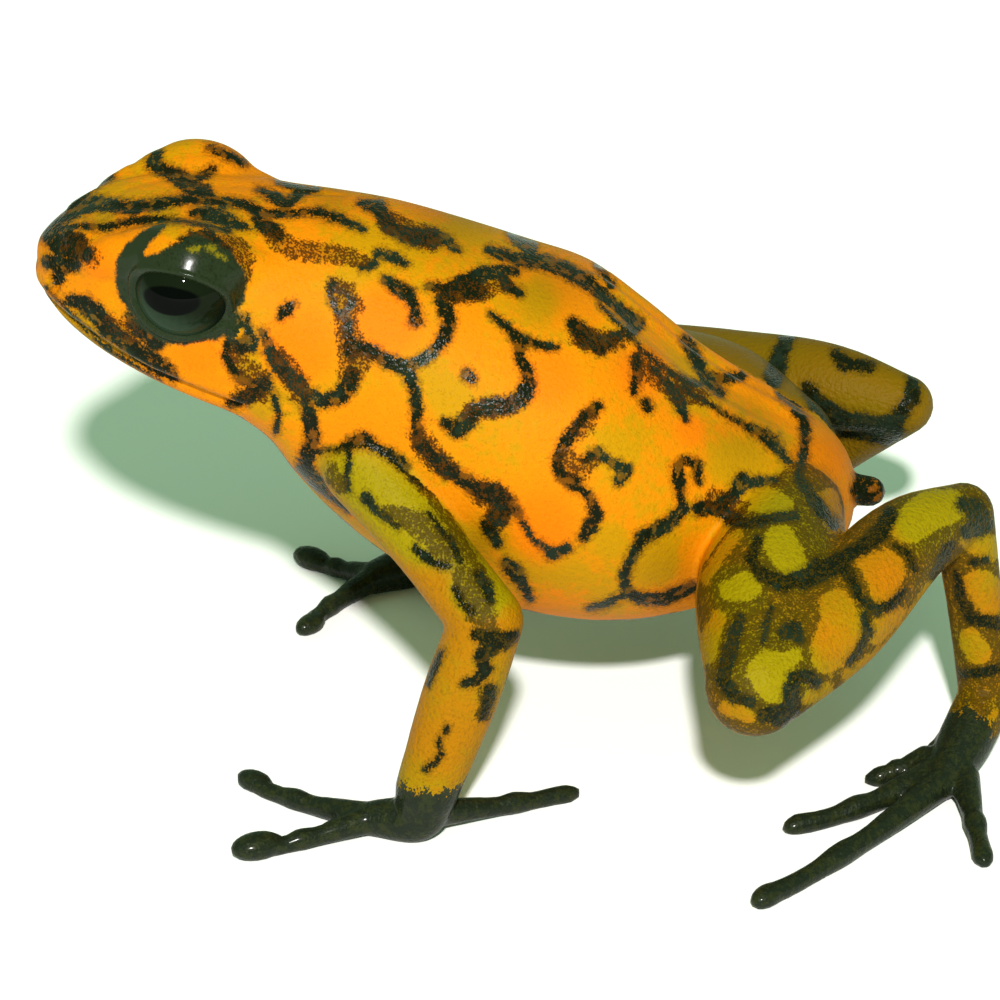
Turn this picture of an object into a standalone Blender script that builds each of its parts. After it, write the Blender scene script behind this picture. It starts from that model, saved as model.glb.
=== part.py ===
"""Little devil poison frog, life size, sitting up on its spread hands and feet.

The whole frog is modelled once as a single skin, from a lofted body, tapered curves for the limbs and digits, and
balls for the joints and finger discs. A voxel remesh fuses them, the lids, nostrils, mouth and ear drums
are pressed into the fused skin, and thin discs part it at its joints into named nodes.

The shapes are modelled in millimetres and brought to metres at the end. +Z is up, the frog faces -Y and its left is
+X. The origin is on the floor, below the middle of the frog's bounding box.
"""

import math

import bmesh
import bpy
import numpy as np
from mathutils import Matrix, Vector

METRES = 0.001
GAP = 0.3

# How finely the skin is made: the fused mesh is even and fine, and is then thinned out, least on the head.
VOXEL = 0.15
SMOOTH_ROUNDS = 8
SIDES_BODY = 72
RINGS_BODY = 150
SKIN_TRIANGLES = 10500
SMALLEST_PIECE = 40

# The body from snout to vent. Each row: place along Y, height of the back, of the widest level and of the
# belly, half width, and how square the section is above and below its widest level (2 is an ellipse).
BODY = {
    "snout tip": (-18.05, 20.2, 19.9, 19.5, 0.10, 2.0, 2.0),
    "snout end": (-17.92, 20.55, 19.8, 18.7, 0.95, 2.2, 2.2),
    "nostrils": (-17.3, 21.1, 19.4, 18.0, 1.85, 2.8, 2.4),
    "loreal": (-16.0, 21.8, 19.0, 16.95, 2.9, 3.3, 2.6),
    "eye front": (-14.3, 22.4, 18.6, 15.95, 3.9, 3.3, 2.6),
    "eye middle": (-12.3, 22.6, 18.0, 15.0, 4.7, 3.0, 2.5),
    "ear": (-10.4, 22.45, 17.4, 14.15, 5.2, 2.5, 2.4),
    "jaw end": (-9.1, 22.3, 16.8, 13.0, 5.35, 2.4, 2.3),
    "throat": (-8.0, 22.2, 16.0, 11.1, 5.4, 2.3, 2.2),
    "shoulders": (-6.3, 22.0, 15.0, 9.0, 5.7, 2.2, 2.2),
    "chest": (-4.0, 21.5, 14.0, 7.1, 6.4, 2.1, 2.2),
    "ribs": (-1.5, 20.6, 12.9, 5.8, 7.0, 2.1, 2.2),
    "middle": (1.0, 19.6, 12.1, 5.2, 7.4, 2.1, 2.2),
    "belly": (3.5, 18.6, 11.5, 4.8, 7.4, 2.1, 2.2),
    "sacrum": (5.6, 16.9, 10.9, 4.8, 7.0, 2.1, 2.2),
    "loins": (7.6, 15.05, 10.4, 5.1, 6.2, 2.2, 2.2),
    "hips": (9.6, 13.65, 9.9, 5.5, 5.1, 2.2, 2.2),
    "rump": (11.6, 12.5, 9.6, 6.0, 3.8, 2.2, 2.2),
    "tail end": (13.0, 11.7, 9.4, 6.7, 2.9, 2.2, 2.2),
    "vent front": (13.7, 11.0, 9.3, 7.4, 2.0, 2.1, 2.1),
    "vent": (14.05, 10.3, 9.2, 8.1, 1.2, 2.0, 2.0),
    "vent tip": (14.15, 9.6, 9.2, 8.9, 0.2, 2.0, 2.0),
}
VENT_TUBE = ((0.0, 13.2, 9.5), (0.0, 14.8, 9.2))
VENT_RADIUS = 0.62

# The hip bones and the spine lift the skin of the rump into low ridges, each of this half width and height.
HIP_RIDGE = ((1.9, 4.4, 17.8), (2.0, 7.4, 15.0), (1.8, 10.6, 12.7))
HIP_RIDGE_SIZE = (0.95, 0.2)
SPINE_RIDGE = ((-0.6, 3.8, 18.3), (-0.6, 6.4, 16.3), (-0.5, 9.0, 14.1), (-0.4, 12.0, 12.3))
SPINE_RIDGE_SIZE = (0.75, 0.2)

# The left eye, with the right one as its mirror image. The opening between the lids is an ellipse of these half
# angles round the axis, tilted so that its front is the higher end. It is pressed in behind the eyeball.
EYE = (3.5, -12.05, 20.35)
EYE_RADIUS = 2.0
EYE_AXIS = (0.94, -0.2, 0.13)
LID_AXIS_DROP = 0.24
LID_OPENING = (65.0, 43.0)
LID_TILT = 12.0
LID_THICKNESS = 0.55
SOCKET_DEPTH = 0.4
BROW = (2.35, 2.85, 2.6)
BROW_RIDGE = (
    (1.9, -16.2, 20.35),
    (2.85, -14.7, 21.15),
    (3.25, -13.8, 21.45),
    (3.4, -10.6, 21.0),
    (3.0, -8.6, 20.6),
)
BROW_RIDGE_RADII = (0.6, 0.95, 1.15, 1.15, 0.8)

# Raised rims lie round the nostrils and ear drums, and low lips above and below the line of the mouth.
NOSTRIL = (1.8, -17.15, 19.6)
NOSTRIL_RADIUS = 0.45
NOSTRIL_DEPTH = 0.8
NOSTRIL_RIM = (0.9, 0.12)
EAR_DRUM = (5.35, -9.95, 18.0)
EAR_DRUM_RADIUS = 0.95
EAR_DRUM_DEPTH = 0.3
EAR_DRUM_RIM = (1.4, 0.14)
MOUTH_HEIGHTS = (
    (-18.1, 18.9),
    (-17.3, 18.5),
    (-16.0, 17.9),
    (-14.9, 17.35),
    (-13.3, 16.75),
    (-11.4, 16.2),
    (-9.0, 15.6),
)
MOUTH_CORNER = -9.7
MOUTH_WIDTH = 0.3
MOUTH_DEPTH = 0.3
LIP_OFFSET = 0.66
LIP_WIDTH = 0.48
LIP_HEIGHT = 0.08

# Joints of each limb, in the order it leaves the body, and the limb's radius at each.
ARMS = {
    "left": {"shoulder": (5.2, -5.2, 13.4), "elbow": (9.8, -0.5, 9.1), "wrist": (10.95, -2.85, 2.1)},
    "right": {"shoulder": (-5.2, -5.2, 13.4), "elbow": (-9.7, -0.9, 9.0), "wrist": (-8.6, -3.2, 2.1)},
}
ARM_RADII = {"shoulder": 1.75, "upper arm": 1.42, "elbow": 1.42, "forearm": 1.5, "wrist": 1.25}
LEGS = {
    "left": {
        "hip": (2.7, 11.2, 9.6),
        "knee": (12.8, 9.7, 8.0),
        "heel": (2.9, 18.25, 9.85),
        "ankle": (3.9, 19.5, 2.1),
    },
    "right": {
        "hip": (-2.7, 11.2, 9.6),
        "knee": (-13.0, 5.9, 7.8),
        "heel": (-7.5, 16.6, 9.0),
        "ankle": (-12.4, 12.2, 2.6),
    },
}
LEG_RADII = {
    "hip": 2.45,
    "thigh": 2.92,
    "knee": 1.92,
    "heel": 1.25,
    "tarsus": 1.12,
    "ankle": 1.15,
}
# The shank: place along it, from knee to heel, and its radius there. It bows a little just above the heel.
SHANK = {"behind knee": (0.05, 1.95), "calf": (0.35, 2.1), "near heel": (0.8, 1.72), "heel": (1.0, 1.25)}
HEEL_BOW = (-0.15, -0.25, 0.42)

# Where the palm and the sole end, and the floor point of each digit's tip, both in X and Y, with the size of the
# disc at the tip and how far the digit bows sideways. Digit 1 is the innermost.
PALM_FRONT = {"left": (10.7, -4.9), "right": (-7.7, -5.2)}
PALM_RADII = (1.22, 1.05, 0.72)
PALM_BEHIND = 0.35
FINGERS = {
    "left": {
        1: (8.15, 3.1, 0.85, 0.0),
        2: (5.6, -2.4, 1.1, 0.0),
        3: (7.2, -10.3, 1.15, 0.25),
        4: (12.65, -10.3, 1.5, 0.1),
    },
    "right": {
        1: (-7.0, 2.9, 0.8, 0.0),
        2: (-4.4, -0.6, 1.1, 0.0),
        3: (-3.9, -8.3, 1.1, -0.25),
        4: (-10.1, -8.6, 1.3, 0.0),
    },
}
SOLE_FRONT = {"left": (8.2, 17.35), "right": (-14.0, 8.0)}
SOLE_RADII = (1.12, 1.05, 0.7)
SOLE_FRONT_HEIGHT = 0.6
TOES = {
    "left": {
        1: (5.6, 16.75, 0.8, 0.0),
        2: (7.3, 14.5, 0.85, 0.0),
        3: (10.9, 11.15, 1.0, 0.3),
        4: (16.15, 9.75, 1.15, 0.25),
        5: (13.35, 18.75, 1.0, 0.0),
    },
    "right": {
        1: (-11.0, 8.6, 0.8, 0.0),
        2: (-11.0, 6.2, 0.85, 0.0),
        3: (-13.0, 1.9, 0.95, -0.4),
        4: (-18.2, 1.0, 1.1, -0.2),
        5: (-18.8, 8.6, 1.0, 0.0),
    },
}
# Each toe's root, as the distance ahead of the end of the sole and the distance towards the inner side of the foot.
TOE_ROOTS = {1: (-2.6, 0.8), 2: (-1.2, 1.1), 3: (-0.6, 0.5), 4: (0.1, -0.05), 5: (-0.8, -0.7)}
TOE_ROOT_HEIGHT = 0.66
# Each finger's root, as its share of the way from the middle of the palm, or from its front, to the finger's tip.
FINGER_ROOTS = {1: ("middle", 0.1), 2: ("middle", 0.12), 3: ("front", 0.04), 4: ("front", 0.04)}
FINGER_ROOT_HEIGHTS = {"middle": 0.85, "front": 0.62}

# A digit swells at its joints: place along it, and its thickness there as a share of its radius. Its underside
# is made to dip into the floor, and is then laid flat on it.
DIGIT_SWELLING = ((0.0, 1.45), (0.3, 1.15), (0.5, 0.98), (0.6, 1.1), (0.75, 0.9), (0.9, 0.92))
FINGER_RADIUS = 0.4
TOE_RADIUS = 0.44
DISC_NECK = 0.98
# The disc is an ellipsoid: its greatest height, and as shares of its size its height, half length, half width and
# the distance from its middle back to the tip.
DISC_HEIGHT = 1.05
DISC_FLATNESS = 0.75
DISC_LENGTH = 0.72
DISC_WIDTH = 0.44
DISC_SETBACK = 0.62
FLOOR_SINK = 0.1

# Where the limbs are parted from the trunk: centre and direction of each cut, and its radius.
NECK_CUT = ((0.0, -8.2, 17.0), (0.0, 1.0, 0.12), 8.6)
SHOULDER_CUTS = {
    "left": ((7.3, -3.1, 11.6), (0.96, -0.12, -0.25), 3.2),
    "right": ((-7.3, -3.2, 11.3), (-0.96, -0.12, -0.25), 3.2),
}
HIP_CUTS = {
    "left": ((6.6, 10.6, 9.0), (0.98, -0.16, -0.1), 3.4),
    "right": ((-7.5, 8.9, 8.8), (-0.98, 0.05, -0.1), 3.9),
}
# Radius of each cut through a joint, and how far its middle is moved into the fold of the joint.
ELBOW_CUT = (2.6, 0.0)
KNEE_CUT = (5.9, 3.3)
HEEL_CUTS = {"left": (3.0, 1.2), "right": (3.9, 2.2)}
ANKLE_CUT = (1.9, 0.0)
WRIST_CUT_RADIUS = 2.0
# How far along each digit it is parted from the hand or foot. The short first toe stays part of the foot.
DIGIT_CUTS = {
    "finger": {1: 0.2, 2: 0.25, 3: 0.24, 4: 0.22},
    "toe": {2: 0.45, 3: 0.47, 4: 0.3, 5: 0.3},
}
DIGIT_CUT_RADIUS = 0.8
DIGIT_CUT_HEIGHT = 0.5

COLOURS = {
    "body": (0.85, 0.30, 0.02),
    "limb": (0.55, 0.33, 0.02),
    "dark": (0.03, 0.035, 0.02),
    "eye": (0.01, 0.01, 0.008),
}
SKIN_ROUGHNESS = 0.35
EYE_ROUGHNESS = 0.1


def clear_scene():
    for obj in list(bpy.data.objects):
        bpy.data.objects.remove(obj)


def new_collection(name):
    made = bpy.data.collections.new(name)
    bpy.context.scene.collection.children.link(made)
    return made


def unit(vector):
    vector = np.asarray(vector, float)
    return vector / np.linalg.norm(vector)


def between(start, end, share):
    return np.asarray(start, float) * (1 - share) + np.asarray(end, float) * share


def on_side(point, side):
    """A left-hand point, or its mirror image on the right."""
    return np.asarray(point, float) * ((1, 1, 1) if side == "left" else (-1, 1, 1))


def through(rows, count):
    """Cubic curve through rows of numbers, sampled in even steps of its length."""
    rows = np.asarray(rows, float)
    at = np.concatenate([[0.0], np.cumsum(np.linalg.norm(np.diff(rows, axis=0), axis=1))])
    slopes = np.gradient(rows, at, axis=0)
    want = np.linspace(0, at[-1], count)
    low = np.clip(np.searchsorted(at, want, side="right") - 1, 0, len(at) - 2)
    span = (at[low + 1] - at[low])[:, None]
    t = (want - at[low])[:, None] / span
    start = (2 * t**3 - 3 * t**2 + 1) * rows[low] + (t**3 - 2 * t**2 + t) * span * slopes[low]
    end = (3 * t**2 - 2 * t**3) * rows[low + 1] + (t**3 - t**2) * span * slopes[low + 1]
    return start + end


def body_piece(home):
    """The head and trunk: a loft of superellipse sections that change along the back."""
    rows = through(list(BODY.values()), RINGS_BODY)
    y, top, widest, bottom, half, above, below = (column[:, None] for column in rows.T)
    turn = np.linspace(0, 2 * math.pi, SIDES_BODY, endpoint=False)[None, :]
    c, s = np.cos(turn), np.sin(turn)
    power = 2 / np.where(s >= 0, above, below)
    x = half * np.sign(c) * np.abs(c) ** power
    z = widest + np.where(s >= 0, top - widest, widest - bottom) * np.sign(s) * np.abs(s) ** power
    rings = np.stack([x, np.broadcast_to(y, x.shape), z], -1)
    index = np.arange(RINGS_BODY * SIDES_BODY).reshape(RINGS_BODY, SIDES_BODY)
    here, following = index[:-1], index[1:]
    sides = np.stack([here, following, np.roll(following, -1, 1), np.roll(here, -1, 1)], -1).reshape(-1, 4)
    ends = [index[0].tolist(), index[-1, ::-1].tolist()]
    mesh = bpy.data.meshes.new("body_piece")
    mesh.from_pydata(rings.reshape(-1, 3).tolist(), [], sides.tolist() + ends)
    piece = bpy.data.objects.new("body_piece", mesh)
    home.objects.link(piece)
    return piece


def tube(name, points, radii, home):
    """A round curve along the points, as thick as the radii say there, made into a mesh."""
    rows = through([(*point, radius) for point, radius in zip(points, radii)], 6 * (len(points) - 1) + 1)
    curve = bpy.data.curves.new(name + "_curve", "CURVE")
    curve.dimensions = "3D"
    curve.bevel_depth = 1.0
    curve.bevel_resolution = 6
    curve.use_fill_caps = True
    spline = curve.splines.new("POLY")
    spline.points.add(len(rows) - 1)
    for point, (x, y, z, radius) in zip(spline.points, rows):
        point.co = (x, y, z, 1)
        point.radius = radius
    guide = bpy.data.objects.new(name + "_curve", curve)
    home.objects.link(guide)
    graph = bpy.context.evaluated_depsgraph_get()
    piece = bpy.data.objects.new(name, bpy.data.meshes.new_from_object(guide.evaluated_get(graph)))
    home.objects.link(piece)
    bpy.data.objects.remove(guide)
    work = bmesh.new()
    work.from_mesh(piece.data)
    bmesh.ops.remove_doubles(work, verts=work.verts, dist=1e-4)
    work.to_mesh(piece.data)
    work.free()
    return piece


def ball(name, centre, radii, home, turn=0.0):
    """A ball or an ellipsoid, turned about Z."""
    work = bmesh.new()
    bmesh.ops.create_uvsphere(work, u_segments=28, v_segments=16, radius=1.0)
    mesh = bpy.data.meshes.new(name)
    work.to_mesh(mesh)
    work.free()
    size = (radii,) * 3 if isinstance(radii, (int, float)) else radii
    place = Matrix.Translation(Vector(centre)) @ Matrix.Rotation(turn, 4, "Z") @ Matrix.Diagonal((*size, 1))
    mesh.transform(place)
    piece = bpy.data.objects.new(name, mesh)
    home.objects.link(piece)
    return piece


def limb(name, joints, radii, home):
    """A limb segment: a tapered tube with a round ball at each end."""
    return [
        tube(name, joints, radii, home),
        ball(name + "_start", joints[0], radii[0], home),
        ball(name + "_end", joints[-1], radii[-1], home),
    ]


def arm_joints(side):
    return (ARMS[side][name] for name in ("shoulder", "elbow", "wrist"))


def leg_joints(side):
    return (LEGS[side][name] for name in ("hip", "knee", "heel", "ankle"))


def arm_pieces(side, home):
    shoulder, elbow, wrist = arm_joints(side)
    upper = [shoulder, between(shoulder, elbow, 0.5), elbow]
    upper_radii = [ARM_RADII[place] for place in ("shoulder", "upper arm", "elbow")]
    lower = [elbow, between(elbow, wrist, 0.35), wrist]
    lower_radii = [ARM_RADII[place] for place in ("elbow", "forearm", "wrist")]
    made = limb(side + "_upper_arm", upper, upper_radii, home)
    return made + limb(side + "_forearm", lower, lower_radii, home)


def leg_pieces(side, home):
    """The shank starts a little behind the knee, which keeps the folded leg's front round, and bows at the heel."""
    hip, knee, heel, ankle = leg_joints(side)
    thigh = [hip, between(hip, knee, 0.45), knee]
    thigh_radii = [LEG_RADII[place] for place in ("hip", "thigh", "knee")]
    shank = [between(knee, heel, share) for share, radius in SHANK.values()]
    near_heel = list(SHANK).index("near heel")
    shank[near_heel] += on_side(HEEL_BOW, side)
    shank_radii = [radius for share, radius in SHANK.values()]
    tarsus = [heel, between(heel, ankle, 0.5), ankle]
    tarsus_radii = [LEG_RADII[place] for place in ("heel", "tarsus", "ankle")]
    made = limb(side + "_thigh", thigh, thigh_radii, home)
    made += limb(side + "_shank", shank, shank_radii, home)
    return made + limb(side + "_tarsus", tarsus, tarsus_radii, home)


def digit_point(root, tip, share, bow=0.0):
    """A place along a digit, seen from above."""
    x, y = between(root[:2], tip[:2], share)
    forward = unit(np.subtract(tip[:2], root[:2]))
    off = bow * 4 * share * (1 - share)
    return x - forward[1] * off, y + forward[0] * off


def digit(name, root, tip, radius, home):
    """A finger or toe along the floor: swollen at its joints, thinner between, with a flat disc at the tip."""
    disc, bow = tip[2:]
    length = np.linalg.norm(np.subtract(tip[:2], root[:2]))
    end = 1 - DISC_SETBACK * disc / length
    points, radii = [], []
    for place, swell in DIGIT_SWELLING:
        share = place * end
        thick = radius * swell
        x, y = digit_point(root, tip, share, bow)
        lifted = (1 - place) ** 2
        points.append((x, y, root[2] * lifted + (thick - FLOOR_SINK) * (1 - lifted)))
        radii.append(thick)
    flat = min(DISC_HEIGHT, disc * DISC_FLATNESS) / 2
    points.append((*between(root[:2], tip[:2], end), flat - FLOOR_SINK))
    radii.append(radius * DISC_NECK)
    turn = math.atan2(tip[1] - root[1], tip[0] - root[0])
    return [
        tube(name, points, radii, home),
        ball(name + "_root", points[0], radii[0], home),
        ball(name + "_disc", points[-1], (disc * DISC_LENGTH, disc * DISC_WIDTH, flat), home, turn),
    ]


def sole_frame(side):
    """The end of the sole, and the directions forward and to the inner side of the foot."""
    front = np.array(SOLE_FRONT[side])
    forward = unit(front - np.array(LEGS[side]["ankle"][:2]))
    inner = np.array((forward[1], -forward[0])) * (1 if side == "left" else -1)
    return front, forward, inner


def palm_points(side):
    """The middle of the palm and its front, seen from above."""
    x, y, _ = ARMS[side]["wrist"]
    return {"middle": (x, y - PALM_BEHIND), "front": PALM_FRONT[side]}


def digit_roots(side, kind):
    """The point where each digit of a hand or a foot leaves the palm or the sole."""
    roots = {}
    if kind == "toe":
        front, forward, inner = sole_frame(side)
        for number, (ahead, off) in TOE_ROOTS.items():
            roots[number] = (*(front + forward * ahead + inner * off), TOE_ROOT_HEIGHT)
    else:
        palm = palm_points(side)
        for number, (place, share) in FINGER_ROOTS.items():
            plan = between(palm[place], FINGERS[side][number][:2], share)
            roots[number] = (*plan, FINGER_ROOT_HEIGHTS[place])
    return roots


def hand_pieces(side, home):
    palm = palm_points(side)
    middle = (*palm["middle"], PALM_RADII[1] - FLOOR_SINK)
    front = (*palm["front"], PALM_RADII[2] - FLOOR_SINK)
    made = limb(side + "_palm", [ARMS[side]["wrist"], middle, front], PALM_RADII, home)
    roots = digit_roots(side, "finger")
    for number, tip in FINGERS[side].items():
        made += digit(f"{side}_finger_{number}", roots[number], tip, FINGER_RADIUS, home)
    return made


def foot_pieces(side, home):
    front, forward, _ = sole_frame(side)
    middle = (*(front - forward * 2.0), SOLE_RADII[1] - FLOOR_SINK / 2)
    end = (*front, SOLE_FRONT_HEIGHT)
    made = limb(side + "_sole", [LEGS[side]["ankle"], middle, end], SOLE_RADII, home)
    roots = digit_roots(side, "toe")
    for number, tip in TOES[side].items():
        made += digit(f"{side}_toe_{number}", roots[number], tip, TOE_RADIUS, home)
    return made


def apply_modifiers(obj):
    graph = bpy.context.evaluated_depsgraph_get()
    made = bpy.data.meshes.new_from_object(obj.evaluated_get(graph))
    obj.modifiers.clear()
    old = obj.data
    obj.data = made
    bpy.data.meshes.remove(old)


def fused_skin(pieces):
    """Joins every piece into one closed skin by Blender's voxel Remesh, and smooths the seams between them."""
    with bpy.context.temp_override(active_object=pieces[0], selected_editable_objects=pieces):
        bpy.ops.object.join()
    skin = pieces[0]
    remesh = skin.modifiers.new("fuse", "REMESH")
    remesh.mode = "VOXEL"
    remesh.voxel_size = VOXEL
    smooth = skin.modifiers.new("soften", "SMOOTH")
    smooth.factor = 0.5
    smooth.iterations = SMOOTH_ROUNDS
    apply_modifiers(skin)
    return skin


def read_points(mesh):
    points = np.empty(len(mesh.vertices) * 3)
    normals = np.empty(len(mesh.vertices) * 3)
    mesh.vertices.foreach_get("co", points)
    mesh.vertices.foreach_get("normal", normals)
    return points.reshape(-1, 3), normals.reshape(-1, 3)


def write_points(mesh, points):
    mesh.vertices.foreach_set("co", points.ravel())
    mesh.update()


def ramp(value, low, high):
    """Rises smoothly from 0 at low to 1 at high."""
    t = np.clip((value - low) / (high - low), 0, 1)
    return t * t * (3 - 2 * t)


def dome(off):
    """A smooth hump: 1 where off is 0, and 0 beyond 1."""
    return np.clip(1 - off**2, 0, 1) ** 2


def distance(points, place):
    return np.linalg.norm(points - place, axis=1)


def open_lids(points, side):
    """Presses the skin behind the eyeball inside the lid opening, and rounds the lids over the ball around it."""
    centre, axis = on_side(EYE, side), unit(on_side(EYE_AXIS, side) - np.array((0, 0, LID_AXIS_DROP)))
    turned = 1 if side == "left" else -1
    level = unit(np.cross((0, 0, 1), axis)) * turned
    upright = unit(np.cross(axis, level)) * turned
    tilt = math.radians(LID_TILT)
    along = math.cos(tilt) * level - math.sin(tilt) * upright
    across = math.sin(tilt) * level + math.cos(tilt) * upright
    arm = points - centre
    reach = np.linalg.norm(arm, axis=1)
    towards = arm / np.maximum(reach, 1e-6)[:, None]
    wide, high = (math.sin(math.radians(angle)) for angle in LID_OPENING)
    place = np.hypot(towards @ along / wide, towards @ across / high)
    outer = (towards @ axis > 0.1) & (reach < EYE_RADIUS + 2.0)
    inside = 1 - ramp(place, 0.94, 1.03)
    lid = (1 - ramp(place, 1.12, 1.5)) * 0.8
    wanted = reach + (EYE_RADIUS + LID_THICKNESS - reach) * lid
    wanted = wanted * (1 - inside) + (EYE_RADIUS - SOCKET_DEPTH) * inside
    moved = centre + towards * wanted[:, None]
    return np.where(outer[:, None], moved, points)


def raise_spot(points, normals, centre, radius, height):
    """A round bump, or a dent where the height is negative."""
    return points + normals * (height * dome(distance(points, centre) / radius))[:, None]


def raise_line(points, normals, path, width, height):
    """A low ridge along a path."""
    near = np.full(len(points), np.inf)
    for row in through(path, 40):
        near = np.minimum(near, distance(points, row))
    return points + normals * (height * dome(near / width))[:, None]


def mouth_line(points, normals):
    """The closed mouth: a groove round the head from corner to corner, with a lip above and below it."""
    places, heights = np.array(MOUTH_HEIGHTS).T
    off = points[:, 2] - np.interp(points[:, 1], places, heights)
    groove = dome(off / MOUTH_WIDTH) * MOUTH_DEPTH
    lips = dome((np.abs(off) - LIP_OFFSET) / LIP_WIDTH) * LIP_HEIGHT
    shown = 1 - ramp(points[:, 1], MOUTH_CORNER - 0.5, MOUTH_CORNER)
    return points - normals * ((groove - lips) * shown)[:, None]


def face_features(skin):
    points, normals = read_points(skin.data)
    points = mouth_line(points, normals)
    for side in ("left", "right"):
        drum, nostril = on_side(EAR_DRUM, side), on_side(NOSTRIL, side)
        points = raise_spot(points, normals, drum, *EAR_DRUM_RIM)
        points = raise_spot(points, normals, drum, EAR_DRUM_RADIUS, -EAR_DRUM_DEPTH)
        points = raise_spot(points, normals, nostril, *NOSTRIL_RIM)
        points = raise_spot(points, normals, nostril, NOSTRIL_RADIUS, -NOSTRIL_DEPTH)
        points = open_lids(points, side)
    write_points(skin.data, points)


def back_ridges(skin):
    points, normals = read_points(skin.data)
    for side in ("left", "right"):
        path = [on_side(point, side) for point in HIP_RIDGE]
        points = raise_line(points, normals, path, *HIP_RIDGE_SIZE)
    points = raise_line(points, normals, SPINE_RIDGE, *SPINE_RIDGE_SIZE)
    write_points(skin.data, points)


def flat_soles(skin):
    """Everything that dips into the floor is laid flat on it."""
    points, _ = read_points(skin.data)
    points[:, 2] = np.maximum(points[:, 2], 0)
    write_points(skin.data, points)


def thin_out(skin):
    """Fewer triangles, kept closest round the eyes, the mouth and the digits."""
    points, _ = read_points(skin.data)
    weight = 1 - 0.22 * (1 - ramp(points[:, 1], -10.5, -8.0)) * ramp(points[:, 2], 13.0, 15.0)
    weight *= 1 - 0.25 * (1 - ramp(points[:, 2], 1.2, 2.2))
    for side in ("left", "right"):
        weight *= 1 - 0.35 * (1 - ramp(distance(points, on_side(EYE, side)), 2.9, 3.6))
        for feature in (NOSTRIL, EAR_DRUM):
            weight *= 1 - 0.4 * (1 - ramp(distance(points, on_side(feature, side)), 0.6, 1.4))
    group = skin.vertex_groups.new(name="thin")
    for level in np.unique(np.round(weight, 2)):
        members = np.flatnonzero(np.round(weight, 2) == level)
        group.add(members.tolist(), float(level), "REPLACE")
    triangles = sum(len(face.vertices) - 2 for face in skin.data.polygons)
    thin = skin.modifiers.new("thin", "DECIMATE")
    thin.ratio = SKIN_TRIANGLES / triangles
    thin.vertex_group = "thin"
    thin.vertex_group_factor = 1.0
    apply_modifiers(skin)


def disc_cutter(name, centre, direction, radius, home):
    """A thin disc that parts a limb, square to the direction."""
    work = bmesh.new()
    bmesh.ops.create_cone(work, cap_ends=True, segments=32, radius1=radius, radius2=radius, depth=GAP)
    mesh = bpy.data.meshes.new(name)
    work.to_mesh(mesh)
    work.free()
    turn = Vector(unit(direction)).to_track_quat("Z", "Y").to_matrix().to_4x4()
    mesh.transform(Matrix.Translation(Vector(centre)) @ turn)
    cutter = bpy.data.objects.new(name, mesh)
    home.objects.link(cutter)
    return cutter


def joint_cut(name, joints, size, home):
    """A disc through the middle one of three joints, halving the angle between the two segments that meet there."""
    radius, inward = size
    before, joint, after = (np.array(point, float) for point in joints)
    entering, leaving = unit(joint - before), unit(after - joint)
    fold = unit(leaving - entering)
    return disc_cutter(name, joint + fold * inward, entering + leaving, radius, home)


def limb_cutters(side, home):
    shoulder, elbow, wrist = arm_joints(side)
    hip, knee, heel, ankle = leg_joints(side)
    sole = (*SOLE_FRONT[side], SOLE_FRONT_HEIGHT)
    return [
        disc_cutter(side + "_shoulder_cut", *SHOULDER_CUTS[side], home),
        joint_cut(side + "_elbow_cut", (shoulder, elbow, wrist), ELBOW_CUT, home),
        disc_cutter(side + "_wrist_cut", wrist, np.subtract(wrist, elbow), WRIST_CUT_RADIUS, home),
        disc_cutter(side + "_hip_cut", *HIP_CUTS[side], home),
        joint_cut(side + "_knee_cut", (hip, between(knee, heel, 0.03), heel), KNEE_CUT, home),
        joint_cut(side + "_heel_cut", (knee, heel, ankle), HEEL_CUTS[side], home),
        joint_cut(side + "_ankle_cut", (heel, ankle, sole), ANKLE_CUT, home),
    ]


def digit_cutters(side, home):
    made = []
    for kind, tips in (("finger", FINGERS[side]), ("toe", TOES[side])):
        roots = digit_roots(side, kind)
        for number, place in DIGIT_CUTS[kind].items():
            root, tip = roots[number], tips[number]
            before, here, beyond = (digit_point(root, tip, place + step, tip[3]) for step in (-0.05, 0, 0.05))
            direction = (*np.subtract(beyond, before), 0)
            name = f"{side}_{kind}_{number}_cut"
            made.append(disc_cutter(name, (*here, DIGIT_CUT_HEIGHT), direction, DIGIT_CUT_RADIUS, home))
    return made


def socket_cutters(home):
    """The eyeballs' own room in the head."""
    return [ball(side + "_socket_cut", on_side(EYE, side), EYE_RADIUS + GAP, home) for side in ("left", "right")]


def cut_skin(skin, cutters):
    for cutter in cutters:
        cutter.hide_render = True
        cutter.display_type = "WIRE"
        cut = skin.modifiers.new(cutter.name, "BOOLEAN")
        cut.operation = "DIFFERENCE"
        cut.solver = "MANIFOLD"
        cut.object = cutter
        apply_modifiers(skin)


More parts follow.
